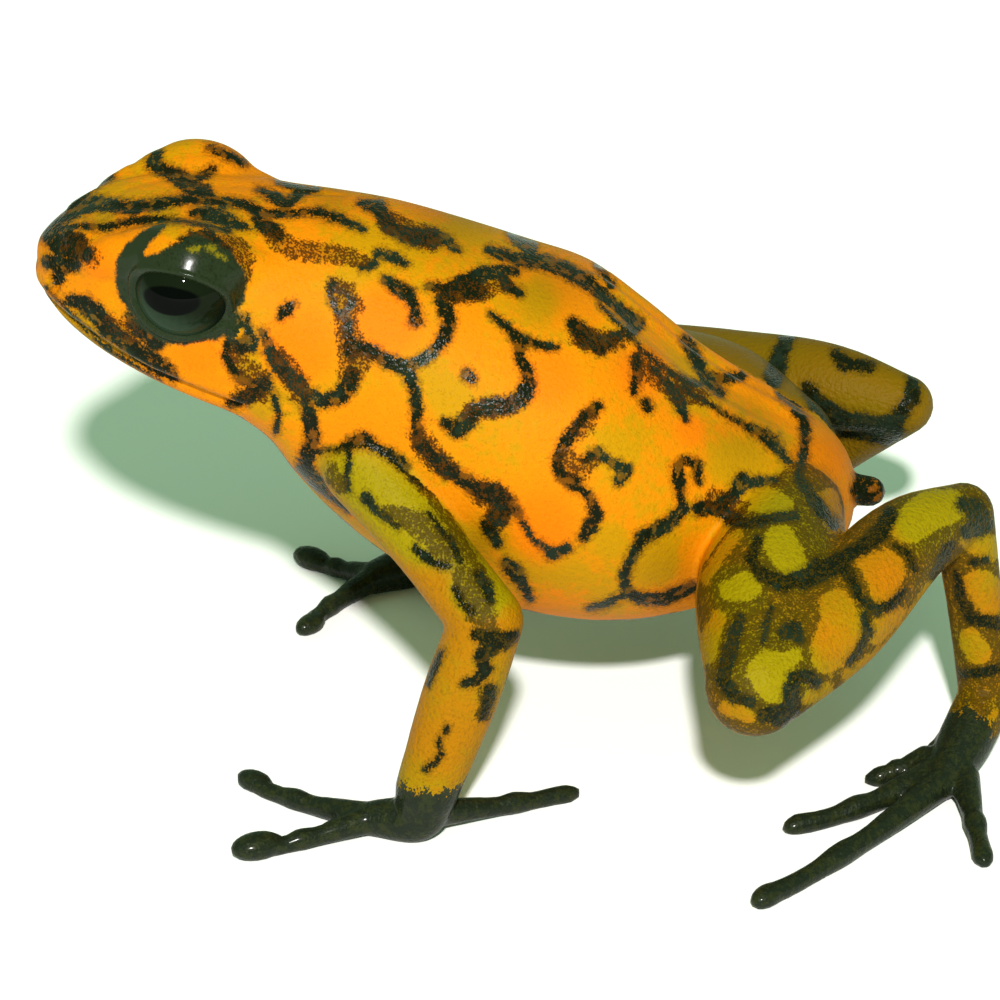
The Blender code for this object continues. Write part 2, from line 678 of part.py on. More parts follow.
def node_markers():
    """A point inside each node of the skin, which tells the parted pieces from one another."""
    marks = {"head": (0, -13, 19), "torso": (0, 0, 12)}
    for side in ("left", "right"):
        shoulder, elbow, wrist = arm_joints(side)
        hip, knee, heel, ankle = leg_joints(side)
        marks[side + "_upper_arm"] = between(shoulder, elbow, 0.75)
        marks[side + "_forearm"] = between(elbow, wrist, 0.5)
        marks[side + "_hand"] = (*palm_points(side)["middle"], PALM_RADII[1] - FLOOR_SINK)
        marks[side + "_thigh"] = between(hip, knee, 0.75)
        marks[side + "_shank"] = between(knee, heel, 0.6)
        marks[side + "_tarsus"] = between(heel, ankle, 0.55)
        marks[side + "_foot"] = between(ankle, (*SOLE_FRONT[side], SOLE_FRONT_HEIGHT), 0.5)
        for kind, tips in (("finger", FINGERS[side]), ("toe", TOES[side])):
            roots = digit_roots(side, kind)
            for number in DIGIT_CUTS[kind]:
                tip = tips[number]
                marks[f"{side}_{kind}_{number}"] = (*digit_point(roots[number], tip, 0.72, tip[3]), FINGER_RADIUS)
    return marks


def loose_pieces(skin, home):
    """Every separate closed surface of the skin as an object of its own, crumbs left out."""
    chosen = {"active_object": skin, "object": skin, "selected_objects": [skin], "selected_editable_objects": [skin]}
    with bpy.context.temp_override(**chosen):
        bpy.ops.mesh.separate(type="LOOSE")
    pieces = [obj for obj in home.objects if obj.type == "MESH"]
    return [piece for piece in pieces if len(piece.data.polygons) > SMALLEST_PIECE]


def name_pieces(pieces, parts):
    """Names each piece after the marker that it lies round, and moves it to the frog's collection."""
    clouds = [np.array([vertex.co for vertex in piece.data.vertices]) for piece in pieces]
    marks = node_markers()
    taken = set()
    for name, mark in marks.items():
        nearest = int(np.argmin([distance(cloud, np.asarray(mark, float)).min() for cloud in clouds]))
        if nearest in taken:
            raise ValueError(name + " is not parted from its neighbour")
        taken.add(nearest)
        piece = pieces[nearest]
        piece.name = name
        piece.data.name = name
        for old in list(piece.users_collection):
            old.objects.unlink(piece)
        parts.objects.link(piece)
    if len(taken) != len(pieces):
        raise ValueError(f"{len(pieces) - len(taken)} pieces of the skin have no name")


def eye_balls(parts):
    for side in ("left", "right"):
        ball(side + "_eye", on_side(EYE, side), EYE_RADIUS, parts)


def material(name, colour, roughness):
    made = bpy.data.materials.new(name)
    made.use_nodes = True
    surface = made.node_tree.nodes["Principled BSDF"]
    surface.inputs["Base Color"].default_value = (*colour, 1)
    surface.inputs["Roughness"].default_value = roughness
    surface.inputs["Metallic"].default_value = 0.0
    return made


def colour_kind(name):
    """The frog is orange on the head and trunk, more yellow on its limbs, and black on its hands and feet."""
    if "eye" in name:
        return "eye"
    if any(word in name for word in ("hand", "finger", "foot", "toe")):
        return "dark"
    return "body" if name in ("head", "torso") else "limb"


def finish_nodes(parts):
    """Metres, the origin below the frog's middle, smooth shading and a material for each node."""
    corners = np.array([vertex.co for obj in parts.objects for vertex in obj.data.vertices])
    low, high = corners.min(0), corners.max(0)
    middle = Vector(((low[0] + high[0]) / 2, (low[1] + high[1]) / 2, 0))
    for obj in parts.objects:
        obj.data.transform(Matrix.Scale(METRES, 4) @ Matrix.Translation(-middle))
        obj.data.shade_smooth()
        kind = colour_kind(obj.name)
        roughness = EYE_ROUGHNESS if kind == "eye" else SKIN_ROUGHNESS
        obj.data.materials.clear()
        obj.data.materials.append(material(obj.name + "_finish", COLOURS[kind], roughness))


def main():
    clear_scene()
    parts = new_collection("little_devil_poison_frog")
    work = new_collection("work")
    cutters = new_collection("cutters")
    pieces = [body_piece(work), ball("vent_end", VENT_TUBE[1], VENT_RADIUS, work)]
    pieces.append(tube("vent_tube", VENT_TUBE, (VENT_RADIUS, VENT_RADIUS), work))
    for side in ("left", "right"):
        pieces.append(ball(side + "_brow", on_side(EYE, side), BROW, work))
        ridge = [on_side(point, side) for point in BROW_RIDGE]
        pieces.append(tube(side + "_brow_ridge", ridge, BROW_RIDGE_RADII, work))
        pieces += arm_pieces(side, work) + hand_pieces(side, work)
        pieces += leg_pieces(side, work) + foot_pieces(side, work)
    skin = fused_skin(pieces)
    back_ridges(skin)
    face_features(skin)
    flat_soles(skin)
    thin_out(skin)
    flat_soles(skin)
    made = [disc_cutter("neck_cut", *NECK_CUT, cutters)] + socket_cutters(cutters)
    for side in ("left", "right"):
        made += limb_cutters(side, cutters) + digit_cutters(side, cutters)
    cut_skin(skin, made)
    name_pieces(loose_pieces(skin, work), parts)
    for crumb in list(work.objects):
        bpy.data.objects.remove(crumb)
    eye_balls(parts)
    finish_nodes(parts)


main()
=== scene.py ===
# %% [markdown]
# # A little devil poison frog, life size
# The frog sits up on its spread hands and feet with its head raised. Its body is one moist, glossy skin,
# orange with a ragged black network, more yellow on the limbs and black on the hands and feet. The eyes are
# separate balls. This lesson makes the skin as one mesh, presses the face into it, draws the markings on
# it, and lights the frog.

import math

import bpy
import numpy as np
from mathutils import Matrix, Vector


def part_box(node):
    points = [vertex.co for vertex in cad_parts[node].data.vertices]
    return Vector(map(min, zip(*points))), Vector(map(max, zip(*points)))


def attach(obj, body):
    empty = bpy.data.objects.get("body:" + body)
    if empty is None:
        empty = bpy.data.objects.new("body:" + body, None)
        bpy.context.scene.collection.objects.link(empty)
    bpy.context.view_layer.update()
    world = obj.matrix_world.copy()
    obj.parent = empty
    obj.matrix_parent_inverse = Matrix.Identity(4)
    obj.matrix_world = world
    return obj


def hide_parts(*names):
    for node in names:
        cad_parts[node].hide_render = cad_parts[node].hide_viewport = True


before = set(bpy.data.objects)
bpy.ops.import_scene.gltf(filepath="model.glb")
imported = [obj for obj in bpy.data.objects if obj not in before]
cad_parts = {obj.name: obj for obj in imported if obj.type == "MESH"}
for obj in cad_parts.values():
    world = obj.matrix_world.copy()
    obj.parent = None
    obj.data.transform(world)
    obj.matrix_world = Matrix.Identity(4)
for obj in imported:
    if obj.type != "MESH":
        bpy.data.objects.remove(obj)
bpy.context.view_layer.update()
print("nodes", len(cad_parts))

# %% [markdown]
# The shapes are worked out in millimetres, with the frog facing -Y, its left side at +X and the floor at
# height 0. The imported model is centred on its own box, so one shift, measured on the left eyeball, brings
# them together.

# %% Units and the shift into the frame
MM = 0.001
EYE = np.array((3.5, -12.05, 20.35))
EYE_RADIUS = 2.0
low, high = (np.array(corner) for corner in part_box("left_eye"))
SHIFT = (low + high) / 2 - EYE * MM
print("shift in mm", np.round(SHIFT / MM, 3))

# %% [markdown]
# The camera looks at the frog's left side from 30 degrees above the floor. Its numbers come first, because
# the markings and folds are drawn on a chart of the frog as it is seen from there. The chart is a thousand
# steps wide and high, counted to the right and down, with 25 steps to a millimetre at the middle of the
# frog.

# %% Camera numbers
CAMERA_AIM = np.array((0.0, 0.0, 8.8))
CAMERA_RISE = math.radians(30)
CAMERA_DISTANCE = 220.0
STEPS_PER_MM = 25.0
CHART_MIDDLE = 500.0
SENSOR_WIDTH = 36.0
VIEW = np.array((-math.cos(CAMERA_RISE), 0, -math.sin(CAMERA_RISE)))
VIEW_RIGHT = np.array((0.0, 1.0, 0.0))
VIEW_UP = np.array((-math.sin(CAMERA_RISE), 0, math.cos(CAMERA_RISE)))
CAMERA_PLACE = CAMERA_AIM - CAMERA_DISTANCE * VIEW
print("camera at", np.round(CAMERA_PLACE, 1), "mm")


def chart(points):
    """Where points show on the chart: their offset right and up, over their depth, times the scale."""
    off = points - CAMERA_PLACE
    scale = STEPS_PER_MM * CAMERA_DISTANCE / (off @ VIEW)
    return np.stack([CHART_MIDDLE + (off @ VIEW_RIGHT) * scale, CHART_MIDDLE - (off @ VIEW_UP) * scale], 1)


# %% [markdown]
# A few small helpers come up everywhere: unit vectors, smooth steps and humps, and a curve through given
# rows.

# %% Helpers
SIDES = ("left", "right")
MIRROR = np.array((-1.0, 1.0, 1.0))
FAR_OFF = 99.0


def unit(vector):
    vector = np.asarray(vector, float)
    return vector / np.linalg.norm(vector, axis=-1, keepdims=True)


def between(start, end, share):
    return np.asarray(start, float) * (1 - share) + np.asarray(end, float) * share


def on_side(point, side):
    """A left-hand point, or its mirror image on the right."""
    return np.asarray(point, float) * (1 if side == "left" else MIRROR)


def ramp(value, low, high):
    """Rises smoothly from 0 at low to 1 at high: 3 t squared minus 2 t cubed."""
    t = np.clip((value - low) / (high - low), 0, 1)
    return t * t * (3 - 2 * t)


def dome(off):
    """A smooth hump: 1 minus off squared, squared, and 0 where off is beyond 1."""
    return np.clip(1 - off**2, 0, 1) ** 2


def smooth_rows(rows, count):
    """Cubic curve through rows of numbers, sampled in even steps of its length."""
    rows = np.asarray(rows, float)
    at = np.concatenate([[0.0], np.cumsum(np.linalg.norm(np.diff(rows, axis=0), axis=1))])
    slopes = np.gradient(rows, at, axis=0)
    want = np.linspace(0, at[-1], count)
    first = np.clip(np.searchsorted(at, want, side="right") - 1, 0, len(at) - 2)
    span = (at[first + 1] - at[first])[:, None]
    t = (want - at[first])[:, None] / span
    start = (2 * t**3 - 3 * t**2 + 1) * rows[first] + (t**3 - 2 * t**2 + t) * span * slopes[first]
    end = (3 * t**2 - 2 * t**3) * rows[first + 1] + (t**3 - t**2) * span * slopes[first + 1]
    return start + end


print("halfway up a smooth step", ramp(0.5, 0, 1))

# %% [markdown]
# ## The body
# Head and trunk are one form, so they are one surface: a ring for every place along the back, whose height,
# depth, width and squareness change from the snout to the vent. A superellipse gives each ring, because a
# frog's head is flatter on top than an ellipse and its belly is rounder. Each row gives a ring's place
# along the back, the heights of its top, widest part and bottom, its half width, and its powers above and
# below the widest part.

# %% Body rings
BODY = (
    (-18.05, 20.2, 19.9, 19.5, 0.10, 2.0, 2.0),
    (-17.92, 20.55, 19.8, 18.7, 0.95, 2.2, 2.2),
    (-17.3, 21.1, 19.4, 18.0, 1.85, 2.8, 2.4),
    (-16.0, 21.8, 19.0, 16.95, 2.9, 3.3, 2.6),
    (-14.3, 22.4, 18.6, 15.95, 3.9, 3.3, 2.6),
    (-12.3, 22.6, 18.0, 15.0, 4.7, 3.0, 2.5),
    (-10.4, 22.45, 17.4, 14.15, 5.2, 2.5, 2.4),
    (-9.1, 22.3, 16.8, 13.0, 5.35, 2.4, 2.3),
    (-8.0, 22.2, 16.0, 11.1, 5.4, 2.3, 2.2),
    (-6.3, 22.0, 15.0, 9.0, 5.7, 2.2, 2.2),
    (-4.0, 21.5, 14.0, 7.1, 6.4, 2.1, 2.2),
    (-1.5, 20.6, 12.9, 5.8, 7.0, 2.1, 2.2),
    (1.0, 19.6, 12.1, 5.2, 7.4, 2.1, 2.2),
    (3.5, 18.6, 11.5, 4.8, 7.4, 2.1, 2.2),
    (5.6, 16.9, 10.9, 4.8, 7.0, 2.1, 2.2),
    (7.6, 15.05, 10.4, 5.1, 6.2, 2.2, 2.2),
    (9.6, 13.65, 9.9, 5.5, 5.1, 2.2, 2.2),
    (11.6, 12.5, 9.6, 6.0, 3.8, 2.2, 2.2),
    (13.0, 11.7, 9.4, 6.7, 2.9, 2.2, 2.2),
    (13.7, 11.0, 9.3, 7.4, 2.0, 2.1, 2.1),
    (14.05, 10.3, 9.2, 8.1, 1.2, 2.0, 2.0),
    (14.15, 9.6, 9.2, 8.9, 0.2, 2.0, 2.0),
)
BODY_RINGS = 200
BODY_SIDES = 96


def ring_faces(rings, sides):
    """Squares between each ring and the next, and one face over each end."""
    index = np.arange(rings * sides).reshape(rings, sides)
    here, following = index[:-1], index[1:]
    corners = [here, following, np.roll(following, -1, 1), np.roll(here, -1, 1)]
    squares = np.stack(corners, -1).reshape(-1, 4)
    return squares.tolist() + [index[0].tolist(), index[-1, ::-1].tolist()]


def body_grid():
    """Rings of x = width |cos|^(2/n) and z = middle + height |sin|^(2/n), each with its own sizes and n."""
    rows = smooth_rows(BODY, BODY_RINGS)
    y, top, widest, bottom, half, above, below = (column[:, None] for column in rows.T)
    turn = np.linspace(0, 2 * math.pi, BODY_SIDES, endpoint=False)[None, :]
    c, s = np.cos(turn), np.sin(turn)
    power = 2 / np.where(s >= 0, above, below)
    x = half * np.sign(c) * np.abs(c) ** power
    z = widest + np.where(s >= 0, top - widest, widest - bottom) * np.sign(s) * np.abs(s) ** power
    return np.stack([x, np.broadcast_to(y, x.shape), z], -1)


print("body points", body_grid().shape[:2])

# %% [markdown]
# ## Limbs and digits
# A limb is a round tube whose thickness follows the muscles, with half balls over its ends so that two
# segments meet roundly at a joint. A circle carried along a smooth curve makes it, and a flattened ball
# makes a finger disc.

# %% Tubes and balls
TUBE_SIDES = 28
RINGS_PER_JOINT = 8
CAP_RINGS = 6
CAP_TURN = 0.97 * math.pi / 2
BALL_RINGS = 18
BALL_TURN = 0.98 * math.pi / 2


def tube_grid(points, radii):
    """Circles carried along the curve through the points. Past each end they shrink as a half ball does."""
    rings = RINGS_PER_JOINT * (len(points) - 1) + 1
    rows = smooth_rows([(*point, radius) for point, radius in zip(points, radii)], rings)
    middle, radius = rows[:, :3], rows[:, 3]
    ahead = unit(np.gradient(middle, axis=0))
    angle = np.linspace(CAP_TURN, 0, CAP_RINGS, endpoint=False)[:, None]
    start = middle[:1] - ahead[:1] * radius[0] * np.sin(angle)
    end = (middle[-1:] + ahead[-1:] * radius[-1] * np.sin(angle))[::-1]
    middle = np.concatenate([start, middle, end])
    shrunk = np.cos(angle[:, 0])
    radius = np.concatenate([radius[0] * shrunk, radius, (radius[-1] * shrunk)[::-1]])
    ahead = np.concatenate([np.repeat(ahead[:1], CAP_RINGS, 0), ahead, np.repeat(ahead[-1:], CAP_RINGS, 0)])
    hint = np.eye(3)[np.argmin(np.abs(ahead).max(axis=0))]
    across = unit(np.cross(hint, ahead))
    over = np.cross(ahead, across)
    turn = np.linspace(0, 2 * math.pi, TUBE_SIDES, endpoint=False)[None, :, None]
    circle = np.cos(turn) * across[:, None] + np.sin(turn) * over[:, None]
    return middle[:, None] + circle * radius[:, None, None]


def ball_grid(centre, sizes, turn=0.0):
    """An ellipsoid: latitude rings from pole to pole, stretched by its sizes and turned about Z."""
    latitude = np.linspace(-BALL_TURN, BALL_TURN, BALL_RINGS)[:, None]
    longitude = np.linspace(0, 2 * math.pi, TUBE_SIDES, endpoint=False)[None, :]
    ring = np.cos(latitude)
    x, y = ring * np.cos(longitude) * sizes[0], ring * np.sin(longitude) * sizes[1]
    z = np.broadcast_to(np.sin(latitude) * sizes[2], x.shape)
    turned = (x * math.cos(turn) - y * math.sin(turn), x * math.sin(turn) + y * math.cos(turn), z)
    return np.asarray(centre, float) + np.stack(turned, -1)


print("points of a ball", ball_grid((0, 0, 0), (1, 1, 1)).shape[:2])

# %% [markdown]
# The joints of the arms and legs are places in the frog's own space. The left and right limbs differ,
# because the frog sits a little askew: its left leg is drawn up beside it and its right one is turned out
# behind.

# %% Limb joints and thicknesses
ARMS = {
    "left": {"shoulder": (5.2, -5.2, 13.4), "elbow": (9.8, -0.5, 9.1), "wrist": (10.95, -2.85, 2.1)},
    "right": {"shoulder": (-5.2, -5.2, 13.4), "elbow": (-9.7, -0.9, 9.0), "wrist": (-8.6, -3.2, 2.1)},
}
ARM_RADII = {"shoulder": 1.75, "upper arm": 1.42, "elbow": 1.42, "forearm": 1.5, "wrist": 1.25}
LEGS = {
    "left": {
        "hip": (2.7, 11.2, 9.6),
        "knee": (12.8, 9.7, 8.0),
        "heel": (2.9, 18.25, 9.85),
        "ankle": (3.9, 19.5, 2.1),
    },
    "right": {
        "hip": (-2.7, 11.2, 9.6),
        "knee": (-13.0, 5.9, 7.8),
        "heel": (-7.5, 16.6, 9.0),
        "ankle": (-12.4, 12.2, 2.6),
    },
}
LEG_RADII = {"hip": 2.45, "thigh": 2.92, "knee": 1.92, "heel": 1.25, "tarsus": 1.12, "ankle": 1.15}
MUSCLE_PLACES = {"upper arm": 0.5, "forearm": 0.35, "thigh": 0.45, "tarsus": 0.5}
SHANK_PLACES = (0.05, 0.35, 0.8)
SHANK_RADII = (1.95, 2.1, 1.72, 1.25)
HEEL_BOW = (-0.15, -0.25, 0.42)


def segment(joints, names, radii):
    """One limb segment through its two joints, thickest at the named place between them."""
    start, end = joints
    middle = between(start, end, MUSCLE_PLACES[names[1]])
    return tube_grid([start, middle, end], [radii[name] for name in names])


def limb_grids(side):
    """The tubes of an arm and a leg. The shank bows a little before the heel."""
    arm, leg = ARMS[side], LEGS[side]
    behind_knee, calf, near_heel = (between(leg["knee"], leg["heel"], share) for share in SHANK_PLACES)
    shank = tube_grid([behind_knee, calf, near_heel + on_side(HEEL_BOW, side), leg["heel"]], SHANK_RADII)
    return [
        segment((arm["shoulder"], arm["elbow"]), ("shoulder", "upper arm", "elbow"), ARM_RADII),
        segment((arm["elbow"], arm["wrist"]), ("elbow", "forearm", "wrist"), ARM_RADII),
        segment((leg["hip"], leg["knee"]), ("hip", "thigh", "knee"), LEG_RADII),
        shank,
        segment((leg["heel"], leg["ankle"]), ("heel", "tarsus", "ankle"), LEG_RADII),
    ]


print("limb segments on each side", len(limb_grids("left")))

# %% [markdown]
# Each digit lies along the floor. It swells at its joints, thins between them, and ends in a flat disc. The
# tips are given from above, with the disc's size and how far the digit bows to one side. Digit 1 is the
# innermost.

# %% Hands and feet
FLOOR_DIP = 0.1
PALM_FRONT = {"left": (10.7, -4.9), "right": (-7.7, -5.2)}
PALM_RADII = (1.22, 1.05, 0.72)
PALM_BEHIND = 0.35
FINGERS = {
    "left": {
        1: (8.15, 3.1, 0.85, 0.0),
        2: (5.6, -2.4, 1.1, 0.0),
        3: (7.2, -10.3, 1.15, 0.25),
        4: (12.65, -10.3, 1.5, 0.1),
    },
    "right": {
        1: (-7.0, 2.9, 0.8, 0.0),
        2: (-4.4, -0.6, 1.1, 0.0),
        3: (-3.9, -8.3, 1.1, -0.25),
        4: (-10.1, -8.6, 1.3, 0.0),
    },
}
SOLE_FRONT = {"left": (8.2, 17.35), "right": (-14.0, 8.0)}
SOLE_RADII = (1.12, 1.05, 0.7)
SOLE_MIDDLE_BACK = 2.0
SOLE_FRONT_HEIGHT = 0.6
TOES = {
    "left": {
        1: (5.6, 16.75, 0.8, 0.0),
        2: (7.3, 14.5, 0.85, 0.0),
        3: (10.9, 11.15, 1.0, 0.3),
        4: (16.15, 9.75, 1.15, 0.25),
        5: (13.35, 18.75, 1.0, 0.0),
    },
    "right": {
        1: (-11.0, 8.6, 0.8, 0.0),
        2: (-11.0, 6.2, 0.85, 0.0),
        3: (-13.0, 1.9, 0.95, -0.4),
        4: (-18.2, 1.0, 1.1, -0.2),
        5: (-18.8, 8.6, 1.0, 0.0),
    },
}
TOE_ROOTS = {1: (-2.6, 0.8), 2: (-1.2, 1.1), 3: (-0.6, 0.5), 4: (0.1, -0.05), 5: (-0.8, -0.7)}
TOE_ROOT_HEIGHT = 0.66
FINGER_ROOTS = {1: ("middle", 0.1), 2: ("middle", 0.12), 3: ("front", 0.04), 4: ("front", 0.04)}
FINGER_ROOT_HEIGHTS = {"middle": 0.85, "front": 0.62}
DIGIT_SWELLING = ((0.0, 1.45), (0.3, 1.15), (0.5, 0.98), (0.6, 1.1), (0.75, 0.9), (0.9, 0.92))
FINGER_RADIUS = 0.4
TOE_RADIUS = 0.44
DISC_NECK = 0.98
DISC_HEIGHT = 1.05
DISC_FLATNESS = 0.75
DISC_LENGTH = 0.72
DISC_WIDTH = 0.44
DISC_SETBACK = 0.62


def digit_grids(root, tip, radius):
    """A tube that settles from the palm onto the floor, with a flat ball over its end."""
    disc, bow = tip[2:]
    way = np.subtract(tip[:2], root[:2])
    end = 1 - DISC_SETBACK * disc / np.linalg.norm(way)
    aside = np.array((-way[1], way[0])) / np.linalg.norm(way)
    points, radii = [], []
    for place, swell in DIGIT_SWELLING:
        share = place * end
        plan = between(root[:2], tip[:2], share) + aside * bow * 4 * share * (1 - share)
        lifted = (1 - place) ** 2
        radii.append(radius * swell)
        points.append((*plan, root[2] * lifted + (radius * swell - FLOOR_DIP) * (1 - lifted)))
    flat = min(DISC_HEIGHT, disc * DISC_FLATNESS) / 2
    points.append((*between(root[:2], tip[:2], end), flat - FLOOR_DIP))
    radii.append(radius * DISC_NECK)
    sizes = (disc * DISC_LENGTH, disc * DISC_WIDTH, flat)
    return [tube_grid(points, radii), ball_grid(points[-1], sizes, math.atan2(way[1], way[0]))]


def hand_grids(side):
    """The palm as a tube from the wrist, and four fingers that leave its middle or its front."""
    x, y, _ = ARMS[side]["wrist"]
    palm = {"middle": (x, y - PALM_BEHIND), "front": PALM_FRONT[side]}
    middle = (*palm["middle"], PALM_RADII[1] - FLOOR_DIP)
    front = (*palm["front"], PALM_RADII[2] - FLOOR_DIP)
    made = [tube_grid([ARMS[side]["wrist"], middle, front], PALM_RADII)]
    for number, (place, share) in FINGER_ROOTS.items():
        tip = FINGERS[side][number]
        root = (*between(palm[place], tip[:2], share), FINGER_ROOT_HEIGHTS[place])
        made += digit_grids(root, tip, FINGER_RADIUS)
    return made


def foot_grids(side):
    """The sole as a tube from the ankle, and five toes that leave it side by side."""
    front, ankle = np.array(SOLE_FRONT[side]), LEGS[side]["ankle"]
    forward = unit(front - ankle[:2])
    inner = np.array((forward[1], -forward[0])) * (1 if side == "left" else -1)
    middle = (*(front - forward * SOLE_MIDDLE_BACK), SOLE_RADII[1] - FLOOR_DIP / 2)
    made = [tube_grid([ankle, middle, (*front, SOLE_FRONT_HEIGHT)], SOLE_RADII)]
    for number, (ahead, off) in TOE_ROOTS.items():
        root = (*(front + forward * ahead + inner * off), TOE_ROOT_HEIGHT)
        made += digit_grids(root, TOES[side][number], TOE_RADIUS)
    return made


print("pieces of a foot", len(foot_grids("left")))

# %% [markdown]
# ## One skin
# Real skin runs over all of this without a seam. Blender's Remesh modifier gives that: it fills the joined
# grids with small cells and keeps only their outside. A little smoothing then rounds the creases where
# limbs leave the body. The cells are small enough for the eyelids and the finger discs.

# %% All the grids
BROW = (2.35, 2.85, 2.6)
BROW_RIDGE = (
    (1.9, -16.2, 20.35),
    (2.85, -14.7, 21.15),
    (3.25, -13.8, 21.45),
    (3.4, -10.6, 21.0),
    (3.0, -8.6, 20.6),
)
BROW_RIDGE_RADII = (0.6, 0.95, 1.15, 1.15, 0.8)
VENT_TUBE = ((0.0, 13.2, 9.5), (0.0, 14.8, 9.2))
VENT_RADIUS = 0.62


def frog_grids():
    """Every surface of the frog: body, vent, brows, limbs, hands and feet."""
    grids = [body_grid(), tube_grid(VENT_TUBE, (VENT_RADIUS, VENT_RADIUS))]
    for side in SIDES:
        grids.append(ball_grid(on_side(EYE, side), BROW))
        grids.append(tube_grid([on_side(place, side) for place in BROW_RIDGE], BROW_RIDGE_RADII))
        grids += limb_grids(side) + hand_grids(side) + foot_grids(side)
    return grids


def joined(grids):
    """All grids as one list of points and faces."""
    points, faces, count = [], [], 0
    for grid in grids:
        rings, sides = grid.shape[:2]
        points.append(grid.reshape(-1, 3))
        faces += [[count + corner for corner in face] for face in ring_faces(rings, sides)]
        count += rings * sides
    return np.concatenate(points), faces


print("surfaces to fuse", len(frog_grids()))

# %% [markdown]
# A mesh is made from such points and faces, and later its points are read, moved and written back as whole
# arrays. A vertex group tells a modifier where to work and how much.

# %% Mesh helpers
def new_piece(name, points, faces):
    mesh = bpy.data.meshes.new(name)
    mesh.from_pydata(np.asarray(points).tolist(), [], faces)
    piece = bpy.data.objects.new(name, mesh)
    bpy.context.scene.collection.objects.link(piece)
    return piece


def apply_modifiers(piece):
    """Puts what the modifiers make in the place of the mesh."""
    made = bpy.data.meshes.new_from_object(piece.evaluated_get(bpy.context.evaluated_depsgraph_get()))
    piece.modifiers.clear()
    old, piece.data = piece.data, made
    bpy.data.meshes.remove(old)


def read_points(piece):
    points, normals = (np.empty(len(piece.data.vertices) * 3) for _ in range(2))
    piece.data.vertices.foreach_get("co", points)
    piece.data.vertices.foreach_get("normal", normals)
    return points.reshape(-1, 3), normals.reshape(-1, 3)


def write_points(piece, points):
    piece.data.vertices.foreach_set("co", points.ravel())
    piece.data.update()


def weigh(piece, name, weight):
    """A vertex group with these weights, in steps of a tenth."""
    group = piece.vertex_groups.new(name=name)
    levels = np.round(weight, 1)
    for level in np.unique(levels):
        group.add(np.flatnonzero(levels == level).tolist(), float(level), "REPLACE")


def soften(piece, weight, rounds):
    """Smooths the piece, most where the weight is 1."""
    weigh(piece, "soft", weight)
    smooth = piece.modifiers.new("smooth", "SMOOTH")
    smooth.iterations = rounds
    smooth.vertex_group = "soft"
    apply_modifiers(piece)
    piece.vertex_groups.clear()


# %% [markdown]
# The Remesh modifier's cells are about a tenth of a millimetre wide. Smoothing is weak near the floor, so
# that it keeps the fingers and their discs.

# %% Fuse the grids into one skin
CELL = 0.115
SMOOTH_ROUNDS = 12
FLOOR_SOFTNESS = 0.2
SOFT_FROM = 1.0
SOFT_FULLY = 2.6

skin = new_piece("skin", *joined(frog_grids()))
fuse = skin.modifiers.new("fuse", "REMESH")
fuse.mode = "VOXEL"
fuse.voxel_size = CELL
apply_modifiers(skin)
height = read_points(skin)[0][:, 2]
soften(skin, FLOOR_SOFTNESS + (1 - FLOOR_SOFTNESS) * ramp(height, SOFT_FROM, SOFT_FULLY), SMOOTH_ROUNDS)
print("fused skin points", len(skin.data.vertices))

# %% [markdown]
# ## The face
# The face is pressed into the fused skin by moving its points, as a sculptor would: the lids and the ring
# of folds round each eye, the line of the mouth with its lips, the nostrils and the ear drums. Both sides
# are alike.

# %% Where a point is on the lids
EYE_AXIS = unit((0.94, -0.2, 0.13))
LID_AXIS_DROP = 0.24
LID_AXIS = unit(EYE_AXIS - np.array((0, 0, LID_AXIS_DROP)))
LID_OPENING = (65.0, 43.0)
LID_TILT = math.radians(12)


def eye_frame(axis, side):
    """The directions along the eye and up it, square to its axis."""
    level = unit(np.cross((0, 0, 1), axis)) * (1 if side == "left" else -1)
    return level, unit(np.cross(axis, level)) * (1 if side == "left" else -1)


def lid_place(points, side):
    """How far off the eye's axis a point lies: its angle over the opening's half angle that way, so 0 is
    the middle of the opening and 1 its edge. Also the distance from the ball's centre, the direction from
    it, and how high up the lids the point is, from -1 to 1."""
    axis = on_side(LID_AXIS, side)
    level, upright = eye_frame(axis, side)
    along = math.cos(LID_TILT) * level - math.sin(LID_TILT) * upright
    across = math.sin(LID_TILT) * level + math.cos(LID_TILT) * upright
    arm = points - on_side(EYE, side)
    reach = np.linalg.norm(arm, axis=1)
    towards = arm / np.maximum(reach, 1e-6)[:, None]
    flat, rise = towards @ along, towards @ across
    off_axis = np.degrees(np.arctan2(np.hypot(flat, rise), towards @ axis))
    turn = np.arctan2(rise, flat)
    half = 1 / np.hypot(np.cos(turn) / LID_OPENING[0], np.sin(turn) / LID_OPENING[1])
    return off_axis / half, reach, towards, np.sin(turn)


print("lid opening", LID_OPENING, "degrees either way")

# %% [markdown]
# The lids lie close over the ball and swell into the brow further out. Their places are counted as above,
# in half openings, and each ridge or groove that runs round them has a height in mm, a place and a half
# width.

# %% Lids
SOCKET_DEPTH = 0.4
LID_GAP = 0.15
UPPER_LID_SWELL = 0.1
LID_DRAWN_FROM = 1.02
LOWER_LID_END = 1.5
UPPER_LID_MORE = 0.35
LID_REACH = (0.85, 1.8)
LID_ZONE = (2.1, 1.9)
OPENING_EDGE = (0.95, 1.03)
LID_EDGE = (0.05, 1.07, 0.08)
LOWER_GROOVE = (-0.1, 1.19, 0.08)
LOWER_RIDGE = (0.05, 1.32, 0.12)


def round_lids(place, ring):
    """A ridge round the lids, or a groove where its height is negative."""
    height, middle, width = ring
    return height * dome((place - middle) / width)


